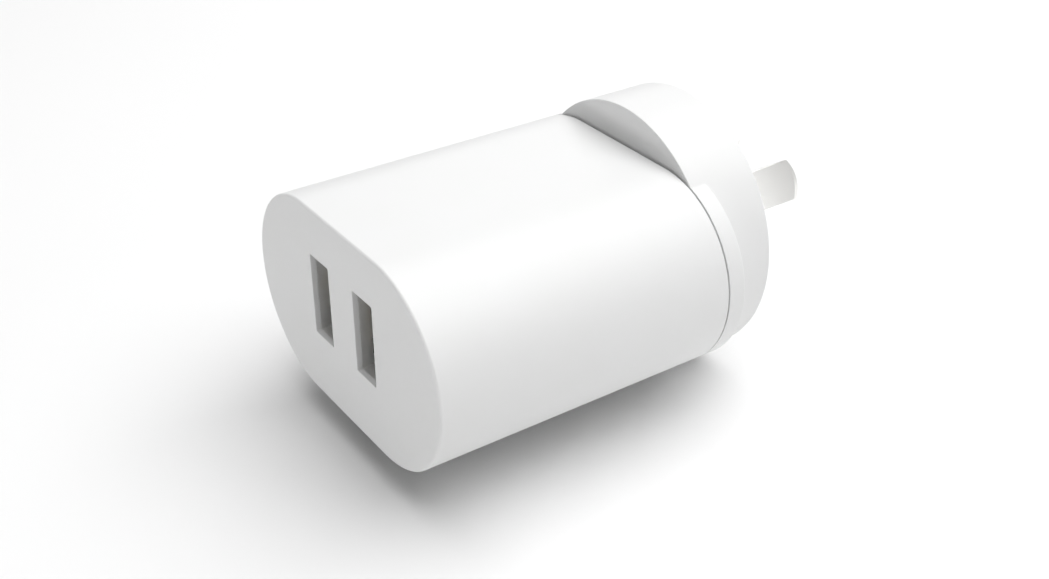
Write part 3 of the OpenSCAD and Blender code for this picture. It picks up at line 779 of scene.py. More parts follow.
def usb_shell(side):
    made = tube(f"{side}_port_shell", soft_rectangle(shell_w, shell_h, 0.55 * MM),
                soft_rectangle(port_w, port_h, 0.25 * MM), PORT_LIP, PORT_LIP + SHELL_LENGTH, 0.05 * MM)
    cut(made, *[window(*place) for place in leaf_frames()])
    cut(made, block("way_out", (tongue_x - 0.6 * MM, block_y + 0.4 * MM, -shell_h),
                    (tongue_x + 1.2 * MM, PORT_LIP + SHELL_LENGTH + CUT_PAST, 0)))
    weld(made, *[leaf(*place) for place in leaf_frames()])
    legs = [(k * (port_w + SHEET) / 2, y) for k in (-1, 1) for y in leg_places]
    weld(made, *[leg(x, y, lead_z - port_z) for x, y in legs])
    return move(made, at_port(side))


for side in SIDES:
    complete(usb_shell(side), shell_tin, [f"{side}_usb_shell"])

# %% [markdown]
# ## Insulators and their tongues
#
# Behind the opening a block of grey, glass-filled nylon closes the shell, and a tongue
# reaches forward from it. Four grooves in the tongue leave room for the contacts to
# spring back. The tip is tapered by three stations, so a plug slides on without catching.

# %% Build the insulators
TONGUE_W = 11.1 * MM
CONTACT_W = 1.0 * MM
CONTACT_T = 0.2 * MM
contact_x = tongue_x + 0.25 * MM
contact_rows = [z * MM for z in (-3.5, -1, 1, 3.5)]
block_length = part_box("left_usb_insulator")[1].y - front_y - block_y
tongue_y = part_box("left_usb_insulator")[0].y - front_y


connector_grey = grained("connector_nylon", dark=(0.40, 0.40, 0.405), light=(0.46, 0.46, 0.46), cloud=2,
                         grain=0.08, roughness=(0.38, 0.55), depth=0.003, stretch=(1, 0.3, 1), ior=1.53)


def insulator(side):
    body = soft_rectangle(port_w - 0.2 * MM, port_h - 0.2 * MM, 0.3 * MM)
    stations = rounded(block_y, block_y + block_length, 0.15 * MM, 0.15 * MM)
    made = push(f"{side}_port_insulator", body, stations)
    tongue = soft_rectangle(TONGUE_T, TONGUE_W, 0.15 * MM, centre=(tongue_x + TONGUE_T / 2, 0))
    taper = [(tongue_y, 0.35 * MM), (tongue_y + 0.12 * MM, 0.22 * MM), (tongue_y + 0.7 * MM, 0)]
    weld(made, push("tongue", tongue, [*taper, (block_y + 0.5 * MM, 0)]))
    half = CONTACT_W / 2 + 0.1 * MM
    for z in contact_rows:
        cut(made, block("groove", (tongue_x - CUT_PAST, tongue_y + 0.6 * MM, z - half),
                        (tongue_x + 1.1 * MM, block_y, z + half)))
    return move(made, at_port(side))


for side in SIDES:
    complete(insulator(side), connector_grey, [f"{side}_usb_insulator"])

# %% [markdown]
# ## Gold contacts and terminals
#
# A terminal is one strip of copper alloy. Its front end is bowed and springs back when a
# plug goes in, so it rides on the moving body. Its rear end is fixed in the block and
# goes down through the board. Gold flash is thin, so the colour drifts a little.

# %% Gold flash
gold = grained("gold_flash", dark=(0.84, 0.60, 0.24), light=(0.95, 0.74, 0.36), cloud=1.2, grain=0.08,
               roughness=(0.22, 0.38), depth=0.001, stretch=(1, 0.1, 1), metallic=1.0)

# %% Build contacts and terminals
TERMINAL_W = 0.6 * MM
TERMINAL_PITCH = 1.25 * MM
crown_y = tongue_y + 2.4 * MM
root_y = block_y - 0.1 * MM
first_terminal_y = block_y + 0.9 * MM
CONTACT_BOW = 0.5 * MM


def contact(z):
    bowed = contact_x - CONTACT_BOW
    route = [(contact_x, root_y, z), (contact_x, crown_y + 1.8 * MM, z), (bowed, crown_y + 0.2 * MM, z),
             (bowed, crown_y - 0.2 * MM, z), (contact_x + 0.1 * MM, crown_y - 1.2 * MM, z)]
    return strip("contact", bend(route, 0.19 * MM), CONTACT_W, CONTACT_T, (0, 0, 1))


def terminal(index):
    top = contact_rows[index] + TERMINAL_W / 2
    y = first_terminal_y + index * TERMINAL_PITCH
    half, bottom = TERMINAL_W / 2, lead_z - port_z
    outline = [(block_y, top), (block_y, top - TERMINAL_W), (y - half, top - TERMINAL_W),
               (y - half, bottom + 0.3 * MM), (y - half / 2, bottom), (y + half / 2, bottom),
               (y + half, bottom + 0.3 * MM), (y + half, top)]
    faces = (contact_x - CONTACT_T / 2, contact_x + CONTACT_T / 2)
    return soften(loft("terminal", [[Vector((x, u, v)) for u, v in outline] for x in faces]), 0.04 * MM, 1)


for side in SIDES:
    contacts = gather(f"{side}_port_contacts", [contact(z) for z in contact_rows])
    complete(move(contacts, at_port(side)), gold, [f"{side}_usb_contacts"],
             body=f"{side}_contacts")
    terminals = gather(f"{side}_port_terminals", [terminal(i) for i in range(len(contact_rows))])
    complete(move(terminals, at_port(side)), gold, [f"{side}_usb_terminals"])

# %% [markdown]
# ## Springs that carry the mains
#
# No wire joins the blades to the board. Two bent strips of phosphor bronze stand on the
# board and press on the tails of the blades, so the cover can be pushed on in one go.
# Rolled bronze shows long faint lines and a slightly uneven, warm colour.

# %% Bronze and the two springs
SPRING_T = 0.3 * MM
SPRING_W = 4.0 * MM
bronze = grained("rolled_bronze", dark=(0.62, 0.42, 0.22), light=(0.74, 0.54, 0.31), cloud=2, grain=0.12,
                 roughness=(0.28, 0.46), depth=0.002, stretch=(1, 1, 0.06), metallic=1.0)
for name in pins:
    low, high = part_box(f"{name}_contact_spring")
    x = (low.x + high.x) / 2
    foot = low.y + SPRING_T / 2
    touch = tail_y - 0.05 * MM - SPRING_T / 2
    height = (pin_boxes[name][0].z + pin_boxes[name][1].z) / 2
    route = [(x, foot, low.z), (x, foot, board_high.z + 4 * MM), (x, touch - 2.2 * MM, height - 1.6 * MM),
             (x, touch, height), (x, touch - 1.6 * MM, height + 2 * MM)]
    made = strip(f"{name}_mains_spring", bend(route, 0.9 * MM), SPRING_W, SPRING_T, (1, 0, 0))
    complete(made, bronze, [f"{name}_contact_spring"])

# %% [markdown]
# ## The circuit board
#
# The board keeps the mesh of the model, because its holes are already exact. Its finish
# is a glass cloth under green lacquer: two crossed waves give the weave, at the pitch of
# real cloth, and they show only as a faint bump and a slight change of green.

# %% Solder mask
def solder_mask():
    finish = Finish("solder_mask", ior=1.55)
    space = finish.space()
    weave = finish.add(finish.wave(0.5 * MM, space, 0.6, "X"), finish.wave(0.5 * MM, space, 0.6, "Y"))
    cloud = finish.noise(6 * MM)
    cloth = finish.blend(cloud, (0.012, 0.13, 0.055), (0.022, 0.20, 0.085))
    colour = finish.blend(finish.spread(weave, 0, 0.35, 0, 2), cloth, (0.035, 0.26, 0.12))
    return finish.wear(colour, finish.spread(finish.noise(1.5 * MM), 0.22, 0.36), weave, 0.006 * MM)


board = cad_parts["main_board"]
board.data.materials.clear()
board.data.materials.append(solder_mask())

# %% [markdown]
# ## Finishes for the parts on the board
#
# Dipped epoxy, fired ceramic, ferrite, shrunk film and cement differ in colour, in gloss
# and in how coarse their surface is, but not in kind. So one function makes them all from
# two colours, a grain size in millimetres, a range of roughness and a depth of relief.

# %% Coatings and metals
def coated(name, dark, light, grain, roughness, depth, ior=1.5):
    return grained(name, dark, light, 2.5, grain, roughness, depth, detail=3.0, ior=ior)


ferrite = coated("ferrite", (0.045, 0.045, 0.048), (0.075, 0.073, 0.072), 0.12, (0.55, 0.75), 0.008)
bobbin_black = matte_black("bobbin_black", 0.2, (0.4, 0.55))
tape_yellow = coated("polyester_tape", (0.78, 0.55, 0.05), (0.86, 0.64, 0.09), 1.2, (0.16, 0.3), 0.01)
film_black = coated("shrunk_film", (0.012, 0.014, 0.022), (0.02, 0.024, 0.04), 0.9, (0.14, 0.26), 0.012)
epoxy_blue = coated("blue_epoxy", (0.02, 0.10, 0.36), (0.035, 0.15, 0.46), 0.8, (0.15, 0.32), 0.03)
epoxy_yellow = coated("yellow_epoxy", (0.72, 0.36, 0.03), (0.82, 0.46, 0.06), 0.8, (0.15, 0.32), 0.03)
cement = coated("cement", (0.08, 0.24, 0.16), (0.12, 0.31, 0.22), 0.25, (0.6, 0.8), 0.02)
chip_epoxy = coated("chip_epoxy", (0.015, 0.015, 0.016), (0.026, 0.026, 0.027), 0.06, (0.5, 0.65), 0.003)
fired_clay = coated("fired_ceramic", (0.42, 0.29, 0.18), (0.50, 0.36, 0.23), 0.1, (0.45, 0.6), 0.003, 1.6)
lead_tin = tinned_steel("lead_tin", (0.68, 0.68, 0.68), (0.78, 0.78, 0.77), (0.2, 0.34))
can_metal = tinned_steel("drawn_can", (0.76, 0.77, 0.78), (0.84, 0.85, 0.86), (0.26, 0.4))

# %% Enamelled copper
def enamelled_copper():
    finish = Finish("enamelled_copper", metallic=1.0)
    finish.shader.inputs["Coat Weight"].default_value = 0.6
    finish.shader.inputs["Coat Roughness"].default_value = 0.12
    drift = finish.noise(0.6 * MM)
    colour = finish.blend(drift, (0.56, 0.20, 0.08), (0.72, 0.30, 0.13))
    return finish.wear(colour, finish.spread(drift, 0.22, 0.36), drift, 0.004 * MM)


copper = enamelled_copper()
through_leads = []

# %% [markdown]
# ## Round leads
#
# Every through-hole part stands on tinned wires. They are drawn together per part, and
# the place of each is noted, because each gets a solder joint under the board later on.

# %% Lead helpers
LEAD = 0.6 * MM


def leads(name, routes, across=(0, 1, 0)):
    for route in routes:
        through_leads.append((route[-1][0], route[-1][1]))
    made = gather(name, [wire("lead", route, LEAD, across) for route in routes])
    return complete(made, lead_tin)


def lead_pair(name, x, y, half_pitch, top):
    """Two straight leads, from the height `top` down through the board."""
    leads(name, [[(x + k * half_pitch, y, top), (x + k * half_pitch, y, lead_z)] for k in (-1, 1)])


def middle_of(node):
    low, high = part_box(node)
    return (low.x + high.x) / 2, (low.y + high.y) / 2


def upright(x, y, z):
    return Matrix.Translation((x, y, z))


# %% [markdown]
# ## Electrolytic capacitors
#
# A capacitor is a drawn aluminium cup, rolled in above its rubber bung and curled over at
# the rim. It is turned from one profile. A shallow cross is cut in its top, where a real
# one is scored so that it can vent. The two long ones lie down and wear a black sleeve;
# the two short ones stand behind the ports as bare cans.

# %% Build the capacitors
RIM_RECESS = 0.12 * MM
VENT = 0.12 * MM


def capacitor_profile(radius, height):
    roll = arc((radius, 1.85 * MM), 0.45 * MM, 270, 90, 8)
    rim = arc((radius - 0.5 * MM, height - 0.5 * MM), 0.5 * MM, 0, 90, 6)
    base = [(0.55 * radius, 0.25 * MM), (0.72 * radius, 0.25 * MM), (0.8 * radius, 0),
            (radius - 0.15 * MM, 0.05 * MM)]
    top = [(radius - 1.1 * MM, height), (radius - 1.25 * MM, height - RIM_RECESS)]
    return base + [(radius, 0.3 * MM)] + roll + rim + top


def vented(piece, radius, top):
    """Cuts a cross as deep as VENT, and twice as wide, in the top of a can."""
    reach = 0.55 * radius
    for x, y in ((reach, VENT), (VENT, reach)):
        cut(piece, block("vent", (-x, -y, top - VENT), (x, y, top + CUT_PAST)))
    return piece


def can_top(name, radius, height):
    disc = radius - 1.3 * MM
    profile = [(disc, height - 0.3 * MM), (disc, height - 0.1 * MM), (disc - 0.1 * MM, height - 0.02 * MM)]
    return vented(lathe(name, profile), radius, height - 0.02 * MM)


BULK_HALF_PITCH = 1.5 * MM
for side in SIDES:
    low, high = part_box(f"{side}_bulk_capacitor")
    x, radius = (low.x + high.x) / 2, (high.x - low.x) / 2
    lead_y = high.y - LEAD / 2
    back_y, z = lead_y - 1.4 * MM, high.z - radius
    lying = upright(x, back_y, z) @ Matrix.Rotation(math.radians(90), 4, "X")
    body = lathe(f"{side}_bulk_capacitor_sleeve", capacitor_profile(radius, back_y - low.y), 64)
    complete(move(body, lying), film_black, [f"{side}_bulk_capacitor"])
    top = can_top(f"{side}_bulk_capacitor_top", radius, back_y - low.y)
    complete(move(top, lying), can_metal)
    leads(f"{side}_bulk_capacitor_leads", [
        [(x + u, back_y - 0.5 * MM, z), (x + u, lead_y, z), (x + u, lead_y, lead_z)]
        for u in (-BULK_HALF_PITCH, BULK_HALF_PITCH)], (1, 0, 0))

# %% Build the output capacitors
OUTPUT_HALF_PITCH = 1.75 * MM
for side in SIDES:
    low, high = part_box(f"{side}_output_capacitor")
    x, y = middle_of(f"{side}_output_capacitor")
    radius, height = (high.x - low.x) / 2, high.z - board_high.z
    can = lathe(f"{side}_output_can", capacitor_profile(radius, height), 64)
    vented(can, radius, height - RIM_RECESS)
    complete(move(can, upright(x, y, board_high.z)), can_metal,
             [f"{side}_output_capacitor"])
    lead_pair(f"{side}_output_capacitor_leads", x, y, OUTPUT_HALF_PITCH, board_high.z + 0.4 * MM)

# %% [markdown]
# ## Dipped discs
#
# The safety capacitor and the varistor are ceramic discs dipped in epoxy. The resin runs
# a little way down the two leads, so a small cone is welded on where each lead leaves.

# %% Build the discs
DISC_HALF_PITCH = 2.5 * MM


def dipped_disc(node, coating):
    low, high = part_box(node)
    x, y = middle_of(node)
    radius, half = (high.x - low.x) / 2, (high.y - low.y) / 2
    z = high.z - radius
    rim = arc((radius - half, 0), half, -80, 80, 10)
    profile = [(0.3 * radius, -half), *rim, (0.3 * radius, half)]
    disc = move(lathe(f"{node}_disc", profile, 64), Matrix.Rotation(math.radians(90), 4, "X"))
    cone = [(0.4 * MM, -radius), (0.55 * MM, 1.5 * MM - radius), (0.9 * MM, 2.2 * MM - radius)]
    for k in (-1, 1):
        weld(disc, move(lathe("run", cone, 24), upright(k * DISC_HALF_PITCH, 0, 0)))
    complete(move(disc, upright(x, y, z)), coating, [node])
    lead_pair(f"{node}_leads", x, y, DISC_HALF_PITCH, z - 1.5 * MM)


dipped_disc("y_capacitor", epoxy_blue)
dipped_disc("varistor", epoxy_yellow)

# %% [markdown]
# ## The fusible resistor
#
# It stands on end to save room on the board. Two metal caps under the cement coating make
# the ends thicker than the middle, so the turned profile is a soft dog-bone.

# %% Build the resistor
RESISTOR_R = 1.8 * MM
RESISTOR_LENGTH = 9 * MM
RETURN_X = 3.2 * MM
low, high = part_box("fusible_resistor")
x, y = low.x + RESISTOR_R, (low.y + high.y) / 2
base = board_high.z + 1 * MM
half_bone = [(0.5 * MM, 0), (0.8 * RESISTOR_R, 0.05 * MM), (0.95 * RESISTOR_R, 0.2 * MM),
             (RESISTOR_R, 0.5 * MM), (RESISTOR_R, 1.4 * MM), (0.95 * RESISTOR_R, 1.8 * MM),
             (0.88 * RESISTOR_R, 2.3 * MM)]
bone = half_bone + [(r, RESISTOR_LENGTH - z) for r, z in reversed(half_bone)]
complete(move(lathe("resistor_body", bone, 40), upright(x, y, base)), cement,
         ["fusible_resistor"])
over = high.z - LEAD / 2
leads("resistor_leads", [
    [(x, y, base + 0.3 * MM), (x, y, lead_z)],
    [(x, y, base + RESISTOR_LENGTH - 0.3 * MM), (x, y, over), (x + RETURN_X, y, over),
     (x + RETURN_X, y, lead_z)]])

# %% [markdown]
# ## The input choke
#
# A ferrite spool wound with enamelled wire. The turns are one real helix, swept along a
# path that climbs by one wire's thickness a turn, over a plain core of inner turns.

# %% Wind the choke
FLANGE = 1.2 * MM
COIL_WIRE = 0.42 * MM
CHOKE_HALF_PITCH = 1.5 * MM
TURN_STEPS = 28
low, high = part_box("choke_core")
x, y = middle_of("choke_core")
radius, height = (high.x - low.x) / 2, high.z - board_high.z
soft = 0.15 * MM
lower = [(radius - soft, 0), (radius, soft), (radius, FLANGE - soft), (radius - soft, FLANGE),
         (radius / 2, FLANGE)]
spool = lathe("choke_spool", lower + [(r, height - z) for r, z in reversed(lower)])
complete(move(spool, upright(x, y, board_high.z)), ferrite, ["choke_core"])
coil_r = radius - 0.3 * MM - COIL_WIRE / 2
first, last = FLANGE + COIL_WIRE / 2, height - FLANGE - COIL_WIRE / 2
steps = round((last - first) / COIL_WIRE * TURN_STEPS)
helix = []
for i in range(steps + 1):
    angle = i * math.tau / TURN_STEPS
    climb = first + (last - first) * i / steps
    helix.append(Vector((coil_r * math.cos(angle), coil_r * math.sin(angle), climb)))
turns = sweep("turns", helix, circle(COIL_WIRE / 2, steps=8)(), (0, 0, 1))
inner = lathe("inner", [(coil_r - 0.05 * MM, FLANGE), (coil_r - 0.05 * MM, height - FLANGE)])
wound = gather("choke_turns", [turns, inner])
complete(move(wound, upright(x, y, board_high.z)), copper, ["choke_winding"])
lead_pair("choke_leads", x, y, CHOKE_HALF_PITCH, board_high.z + 0.3 * MM)
print(f"choke: {steps // TURN_STEPS} turns of {COIL_WIRE / MM:.2f} mm wire")

# %% [markdown]
# ## The transformer core
#
# Two E-shaped ferrite halves meet in the middle of the bobbin. Each is an E-shaped
# outline given height, and then every edge is ground off a little by the bevel, as the
# makers do so that the brittle corners don't chip.

# %% Build the core halves
core_low, core_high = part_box("transformer_core_front")
core_y = core_high.y
core_z = (core_low.z + core_high.z) / 2
core_half_w = core_high.x
core_length = core_high.y - core_low.y
core_h = core_high.z - core_low.z
YOKE = 2.4 * MM
LEG_SIDE = 2.5 * MM
LEG_MIDDLE = 4.8 * MM


def core_half(name, direction):
    wide, inner, middle = core_half_w, core_half_w - LEG_SIDE, LEG_MIDDLE / 2
    back, yoke = core_length, core_length - YOKE
    outline = [(-wide, 0), (-inner, 0), (-inner, yoke), (-middle, yoke), (-middle, 0), (middle, 0),
               (middle, yoke), (inner, yoke), (inner, 0), (wide, 0), (wide, back), (-wide, back)]
    rings = [[Vector((x, core_y + direction * y, z)) for x, y in outline]
             for z in (core_low.z, core_high.z)]
    return soften(loft(name, rings), 0.22 * MM)


for end, direction in (("front", -1), ("rear", 1)):
    complete(core_half(f"core_half_{end}", direction), ferrite, [f"transformer_core_{end}"])

# %% [markdown]
# ## Bobbin, winding and tape
#
# The bobbin is a square tube with two flanges, standing on two pin blocks. The wire lies
# in even layers, so the winding is pushed with a small scallop for each turn, which gives
# every groove between turns. The tape is a strip that overlaps itself at its end.

# %% Build the bobbin
BOBBIN_WALL = 0.7 * MM
FLANGE_T = 0.9 * MM
FLANGE_PAST = 0.4 * MM
FOOT_LENGTH = 3.1 * MM
bore = soft_rectangle(LEG_MIDDLE, core_h, 0.1 * MM, centre=(0, core_z))
tube_outline = soft_rectangle(LEG_MIDDLE + 2 * BOBBIN_WALL, core_h + 2 * BOBBIN_WALL, 0.5 * MM,
                              centre=(0, core_z))
winding_low, winding_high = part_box("winding_tape")
flange_w = winding_high.x - winding_low.x + FLANGE_PAST
flange_h = winding_high.z - winding_low.z + FLANGE_PAST
flange_outline = soft_rectangle(flange_w, flange_h, 1.2 * MM, centre=(0, core_z))
reach = core_length - YOKE
bobbin = tube("bobbin", tube_outline, bore, core_y - reach, core_y + reach, 0.05 * MM)
bobbin_low, bobbin_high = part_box("transformer_bobbin")
ends = {core_y - reach: bobbin_low.y, core_y + reach - FLANGE_T: bobbin_high.y - FOOT_LENGTH}
for flange_y, foot_y in ends.items():
    weld(bobbin, tube("flange", flange_outline, bore, flange_y, flange_y + FLANGE_T, 0.12 * MM))
    foot = block("foot", (bobbin_low.x, foot_y, board_high.z + 0.4 * MM),
                 (bobbin_high.x, foot_y + FOOT_LENGTH, core_low.z))
    weld(bobbin, soften(foot, 0.2 * MM))
complete(bobbin, bobbin_black, ["transformer_bobbin"])

# %% Wind the transformer
TAPE_T = 0.15 * MM
TURN_PITCH = 0.4 * MM
TURN_DEPTH = 0.12 * MM
SCALLOP_STEPS = 6
wound_w = winding_high.x - winding_low.x - 2 * TAPE_T
wound_h = winding_high.z - winding_low.z - 2 * TAPE_T
wound_outline = soft_rectangle(wound_w, wound_h, 2 * MM, centre=(0, core_z))
wound_length = winding_high.y - winding_low.y
count = int(wound_length / TURN_PITCH)
steps = count * SCALLOP_STEPS
scallops = []
for i in range(steps + 1):
    swing = abs(math.sin(math.pi * i / SCALLOP_STEPS))
    scallops.append((winding_low.y + wound_length * i / steps, TURN_DEPTH * (1 - swing)))
inside = [(winding_high.y, 0), (winding_low.y, 0)]
rings = along_y(wound_outline, scallops) + along_y(tube_outline, inside)
winding = loft("winding_turns", rings, looped=True)
complete(winding, copper, ["transformer_winding"])
print(f"winding: {count} turns a layer")


# %% Wrap the tapes
def wrap(name, outline, place, width, across):
    """One turn of tape round an outline, with its end lapped over its start."""
    under = outline(-TAPE_T / 2)
    over = outline(-1.5 * TAPE_T)
    route = [under[-1], *under, over[0]]
    return strip(name, [place(u, v) for u, v in route], width, TAPE_T * 0.9, across)


def upright_place(u, v):
    return Vector((u, (winding_low.y + winding_high.y) / 2, v))


def level_place(u, v):
    return Vector((u, v, core_z))


winding_wrap = wrap("winding_wrap", wound_outline, upright_place, wound_length, (0, 1, 0))
complete(winding_wrap, tape_yellow, ["winding_tape"])
core_outline = soft_rectangle(2 * core_half_w, 2 * core_length, 0.25 * MM, centre=(0, core_y))
core_wrap = wrap("core_wrap", core_outline, level_place, core_h - 0.6 * MM, (0, 0, 1))
complete(core_wrap, tape_yellow, ["core_tape"])

# %% Add the transformer pins
pin_low, pin_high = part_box("transformer_pins")
PINS_A_ROW = 4
pin_step = (pin_high.x - pin_low.x - LEAD) / (PINS_A_ROW - 1)
pin_spots = [(pin_low.x + LEAD / 2 + i * pin_step, y)
             for i in range(PINS_A_ROW) for y in (pin_low.y + LEAD / 2, pin_high.y - LEAD / 2)]
through_leads += pin_spots
bobbin_pins = gather("bobbin_pins", [wire("pin", [(x, y, pin_high.z), (x, y, lead_z)], LEAD)
                                     for x, y in pin_spots])
complete(bobbin_pins, lead_tin, ["transformer_pins"])

# %% [markdown]
# ## Moulded chips
#
# A chip's body is moulded in two halves that meet at its legs, so its sides lean in both
# ways from the middle. `stack` builds it from outlines at rising heights. The legs are
# bent strips: out of the body, down, and out again along the board.

# %% Chip helpers
def stack(name, outline, stations):
    return loft(name, [[Vector((x, y, z)) for x, y in outline(inset)] for z, inset in stations])


def chip_body(name, width, length, base, height):
    outline = soft_rectangle(width, length, 0.08 * MM, steps=3)
    lean = 0.09 * height
    body = stack(name, outline, [(base, lean), (base + 0.45 * height, 0), (base + 0.55 * height, 0),
                                 (base + height, lean)])
    top = base + height
    dimple = lathe("dimple", [(0.26 * MM, top - 0.06 * MM), (0.3 * MM, top + CUT_PAST)], 24)
    return cut(body, move(dimple, upright(0.6 * MM - width / 2, 0.6 * MM - length / 2, 0)))


def under_board(x, y):
    return upright(x, y, board_low.z) @ Matrix.Rotation(math.pi, 4, "X")


# %% Build the optocoupler
OPTO_W = 6.5 * MM
OPTO_L = 4.6 * MM
OPTO_H = 3.6 * MM
OPTO_STAND = 0.5 * MM
OPTO_HALF_ROW = 3.81 * MM
OPTO_HALF_PITCH = 1.27 * MM
x, y = middle_of("optocoupler")
base = board_high.z + OPTO_STAND
knee = base + OPTO_H / 2
body = chip_body("optocoupler_body", OPTO_W, OPTO_L, 0, OPTO_H)
complete(move(body, upright(x, y, base)), chip_epoxy, ["optocoupler"])
legs = []
for i in (-1, 1):
    for k in (-1, 1):
        lead_y, lead_x = y + k * OPTO_HALF_PITCH, x + i * OPTO_HALF_ROW
        route = [(x + i * (OPTO_W / 2 - 0.4 * MM), lead_y, knee), (lead_x, lead_y, knee),
                 (lead_x, lead_y, lead_z)]
        legs.append(strip("leg", bend(route, 0.3 * MM), 0.5 * MM, 0.25 * MM, (0, 1, 0)))
        through_leads.append((lead_x, lead_y))
complete(gather("optocoupler_legs", legs), lead_tin)

# %% Build the chips under the board
# Width, length and height in millimetres, then legs on a side and the pitch of the legs.
CHIPS = {
    "bridge_rectifier": (4.4, 5.0, 1.5, 2, 2.5),
    "switching_controller": (4.0, 5.0, 1.5, 4, 1.27),
    "sync_rectifier": (4.0, 5.0, 1.5, 4, 1.27),
    "charge_controller": (1.7, 2.9, 1.1, 3, 0.95),
    "snubber_diode": (4.3, 2.6, 2.0, 1, 1.0)}
STAND = 0.1 * MM
FOOT = 0.9 * MM
FOOT_T = 0.2 * MM


def gull_wing(width, height, side, y):
    out, knee = side * width / 2, STAND + height / 2
    route = [(out - side * 0.15 * MM, y, knee), (out + side * 0.28 * MM, y, knee),
             (out + side * 0.42 * MM, y, FOOT_T / 2), (out + side * FOOT, y, FOOT_T / 2)]
    return strip("leg", bend(route, 0.12 * MM, 3), 0.4 * MM, FOOT_T * 0.9, (0, 1, 0))


for node, (width, length, height, count, pitch) in CHIPS.items():
    width, length, height, pitch = width * MM, length * MM, height * MM, pitch * MM
    place = under_board(*middle_of(node))
    body = chip_body(f"{node}_body", width, length, STAND, height)
    complete(move(body, place), chip_epoxy, [node])
    legs = [gull_wing(width, height, side, (i - (count - 1) / 2) * pitch)
            for side in (-1, 1) for i in range(count)]
    complete(move(gather(f"{node}_legs", legs), place), lead_tin)

# %% [markdown]
# ## Rows of small chips
#
# The resistors and capacitors that set the charge current are bare ceramic bricks with
# metal caps at both ends. One function lays a row, once for the bricks and once for the
# caps, so the two finishes stay apart.

# %% Lay the rows
CHIP_MARGIN = 3 * MM
CAP_LENGTH = 0.3


def brick(size, place):
    half = [s * MM / 2 for s in size]
    made = block("brick", [-h for h in half], half)
    return move(soften(made, 0.06 * MM), Matrix.Translation(place))


def chip_rows(name, rows, size, pitch, material):
    """Rows of (side, distance from the board's front edge, count), with sizes in millimetres."""
    level = board_low.z - size[2] * MM / 2
    spots = [(side * (board_high.x - CHIP_MARGIN - i * pitch * MM), board_low.y + y * MM, level)
             for side, y, count in rows for i in range(count)]
    cap = (CAP_LENGTH, size[1] + 0.06, size[2] + 0.04)
    inward = (size[0] - cap[0]) * MM / 2
    complete(gather(f"{name}_bricks", [brick(size, spot) for spot in spots]), material, [f"{name}s"])
    caps = [brick(cap, (x + k * inward, y, z)) for x, y, z in spots for k in (-1, 1)]
    complete(gather(f"{name}_caps", caps), lead_tin)


chip_rows("chip_resistor", [(-1, 14, 5), (1, 25, 5)], (1.6, 0.8, 0.5), 2.6, chip_epoxy)
chip_rows("chip_capacitor", [(-1, 3.5, 3), (1, 3.5, 3)], (2, 1.25, 1), 2.8, fired_clay)

# %% [markdown]
# ## Solder joints
#
# Solder climbs each lead in a small hollow cone. The profile of the cone is turned once
# per lead, at the places noted while the leads were bent.

# %% Add the solder
def joint(x, y, radius, height=0.8 * MM):
    cone = [(radius, 0), (radius, 0.06 * MM), (0.7 * radius, 0.2 * height), (0.5 * radius, 0.5 * height),
            (0.42 * radius, height)]
    return move(lathe("joint", cone, 20), under_board(x, y))


terminal_spots = [(port_x[side] + contact_x, front_y + first_terminal_y + i * TERMINAL_PITCH)
                  for side in SIDES for i in range(len(contact_rows))]
leg_spots = [(port_x[side] + k * (port_w + SHEET) / 2, front_y + y)
             for side in SIDES for k in (-1, 1) for y in leg_places]
cones = ((through_leads, 0.85 * MM), (terminal_spots, 0.52 * MM), (leg_spots, 1.0 * MM))
joints = [joint(x, y, radius) for spots, radius in cones for x, y in spots]
complete(gather("solder_joints", joints), lead_tin)
print(len(joints), "solder joints")

# %% [markdown]
# ## Floor and light
#
# A wide, nearly white floor and large soft lights give the even, pale picture of a
# product shot. The main softbox hangs above and a little behind, to the right, so the
# upper faces are the brightest. Two small softboxes stand behind, one each side, where
# the flat blades mirror them. The front is lit mostly by what the floor sends back and
# by a low strip, so it falls a step darker, and that difference is what shows the shape.

# %% Set the floor
FLOOR_HALF = 0.55


def floor_paper():
    finish = Finish("floor_paper", ior=1.3)
    colour = finish.blend(finish.noise(0.3), (0.885, 0.885, 0.885), (0.90, 0.90, 0.90))
    fibre = finish.noise(1.2 * MM)
    return finish.wear(colour, finish.spread(fibre, 0.85, 0.95), fibre, 0.01 * MM)


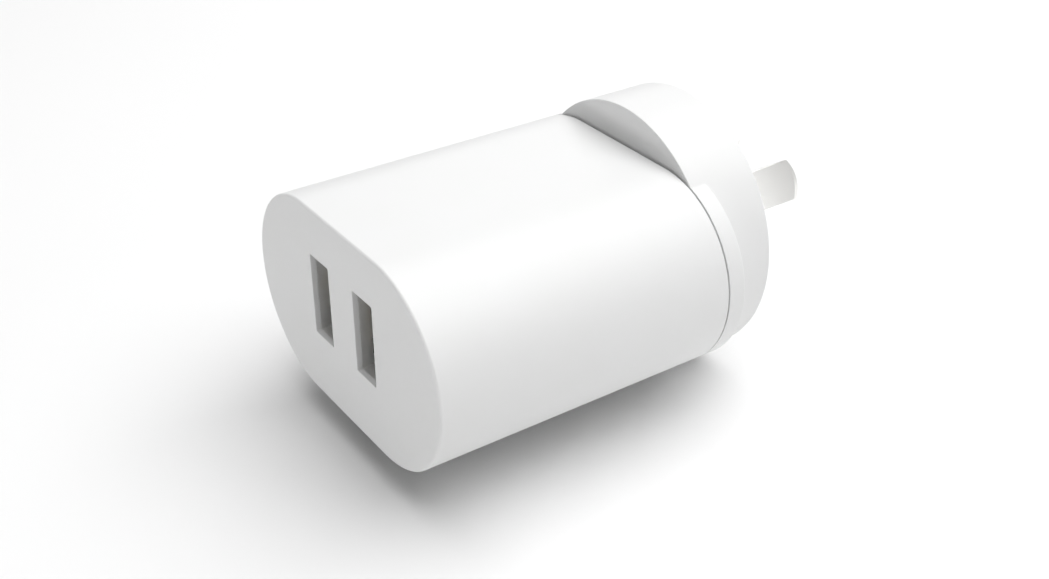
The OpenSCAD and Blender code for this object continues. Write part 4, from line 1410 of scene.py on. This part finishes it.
corners = [(x * FLOOR_HALF, y * FLOOR_HALF, cad_low.z)
           for x, y in ((-1, -1), (1, -1), (1, 1), (-1, 1))]
floor_mesh = bpy.data.meshes.new("floor")
floor_mesh.from_pydata(corners, [], [(0, 1, 2, 3)])
floor_mesh.materials.append(floor_paper())
floor = add_object("floor", floor_mesh)

# %% Set the lights
def soft_light(name, size, energy, location):
    light = bpy.data.lights.new(name, "AREA")
    light.shape = "RECTANGLE"
    light.size, light.size_y = size
    light.energy = energy
    made = add_object(name, light)
    made.location = location
    made.rotation_euler = (aim - made.location).to_track_quat("-Z", "Y").to_euler()
    print(f"{name}: {energy} W")


soft_light("top_softbox", size=(1.2, 1.2), energy=12.5, location=(0.1, 0.16, 0.8))
for name, direction in SIDES.items():
    place = (direction * 0.41, 0.25, 0.18)
    soft_light(f"rear_{name}_softbox", size=(0.2, 0.16), energy=0.17, location=place)
soft_light("low_front_softbox", size=(0.3, 0.016), energy=0.36, location=(0.02, -0.5, -0.011))

# %% Light the room
ROOM_DIM = 0.07
ROOM_BRIGHT = 0.7
WALL_EDGE = 0.7
BACKDROP = 0.62


def room_light():
    """A dim room with a bright wall behind, and a pale backdrop where one sees past the floor."""
    world = bpy.data.worlds.new("room")
    world.use_nodes = True
    nodes, links = world.node_tree.nodes, world.node_tree.links
    coords = nodes.new("ShaderNodeTexCoord")
    axes = nodes.new("ShaderNodeSeparateXYZ")
    wall = nodes.new("ShaderNodeMapRange")
    ends = {"From Min": WALL_EDGE, "From Max": 1, "To Min": ROOM_DIM, "To Max": ROOM_BRIGHT}
    for name, value in ends.items():
        wall.inputs[name].default_value = value
    ray = nodes.new("ShaderNodeLightPath")
    strength = nodes.new("ShaderNodeMix")
    strength.inputs[3].default_value = BACKDROP
    links.new(coords.outputs["Generated"], axes.inputs["Vector"])
    links.new(axes.outputs["Y"], wall.inputs["Value"])
    links.new(ray.outputs["Is Camera Ray"], strength.inputs[0])
    links.new(wall.outputs["Result"], strength.inputs[2])
    links.new(strength.outputs[0], nodes["Background"].inputs["Strength"])
    nodes["Background"].inputs["Color"].default_value = (1, 1, 1, 1)
    return world


bpy.context.scene.world = room_light()
bpy.context.scene.view_settings.view_transform = "Standard"
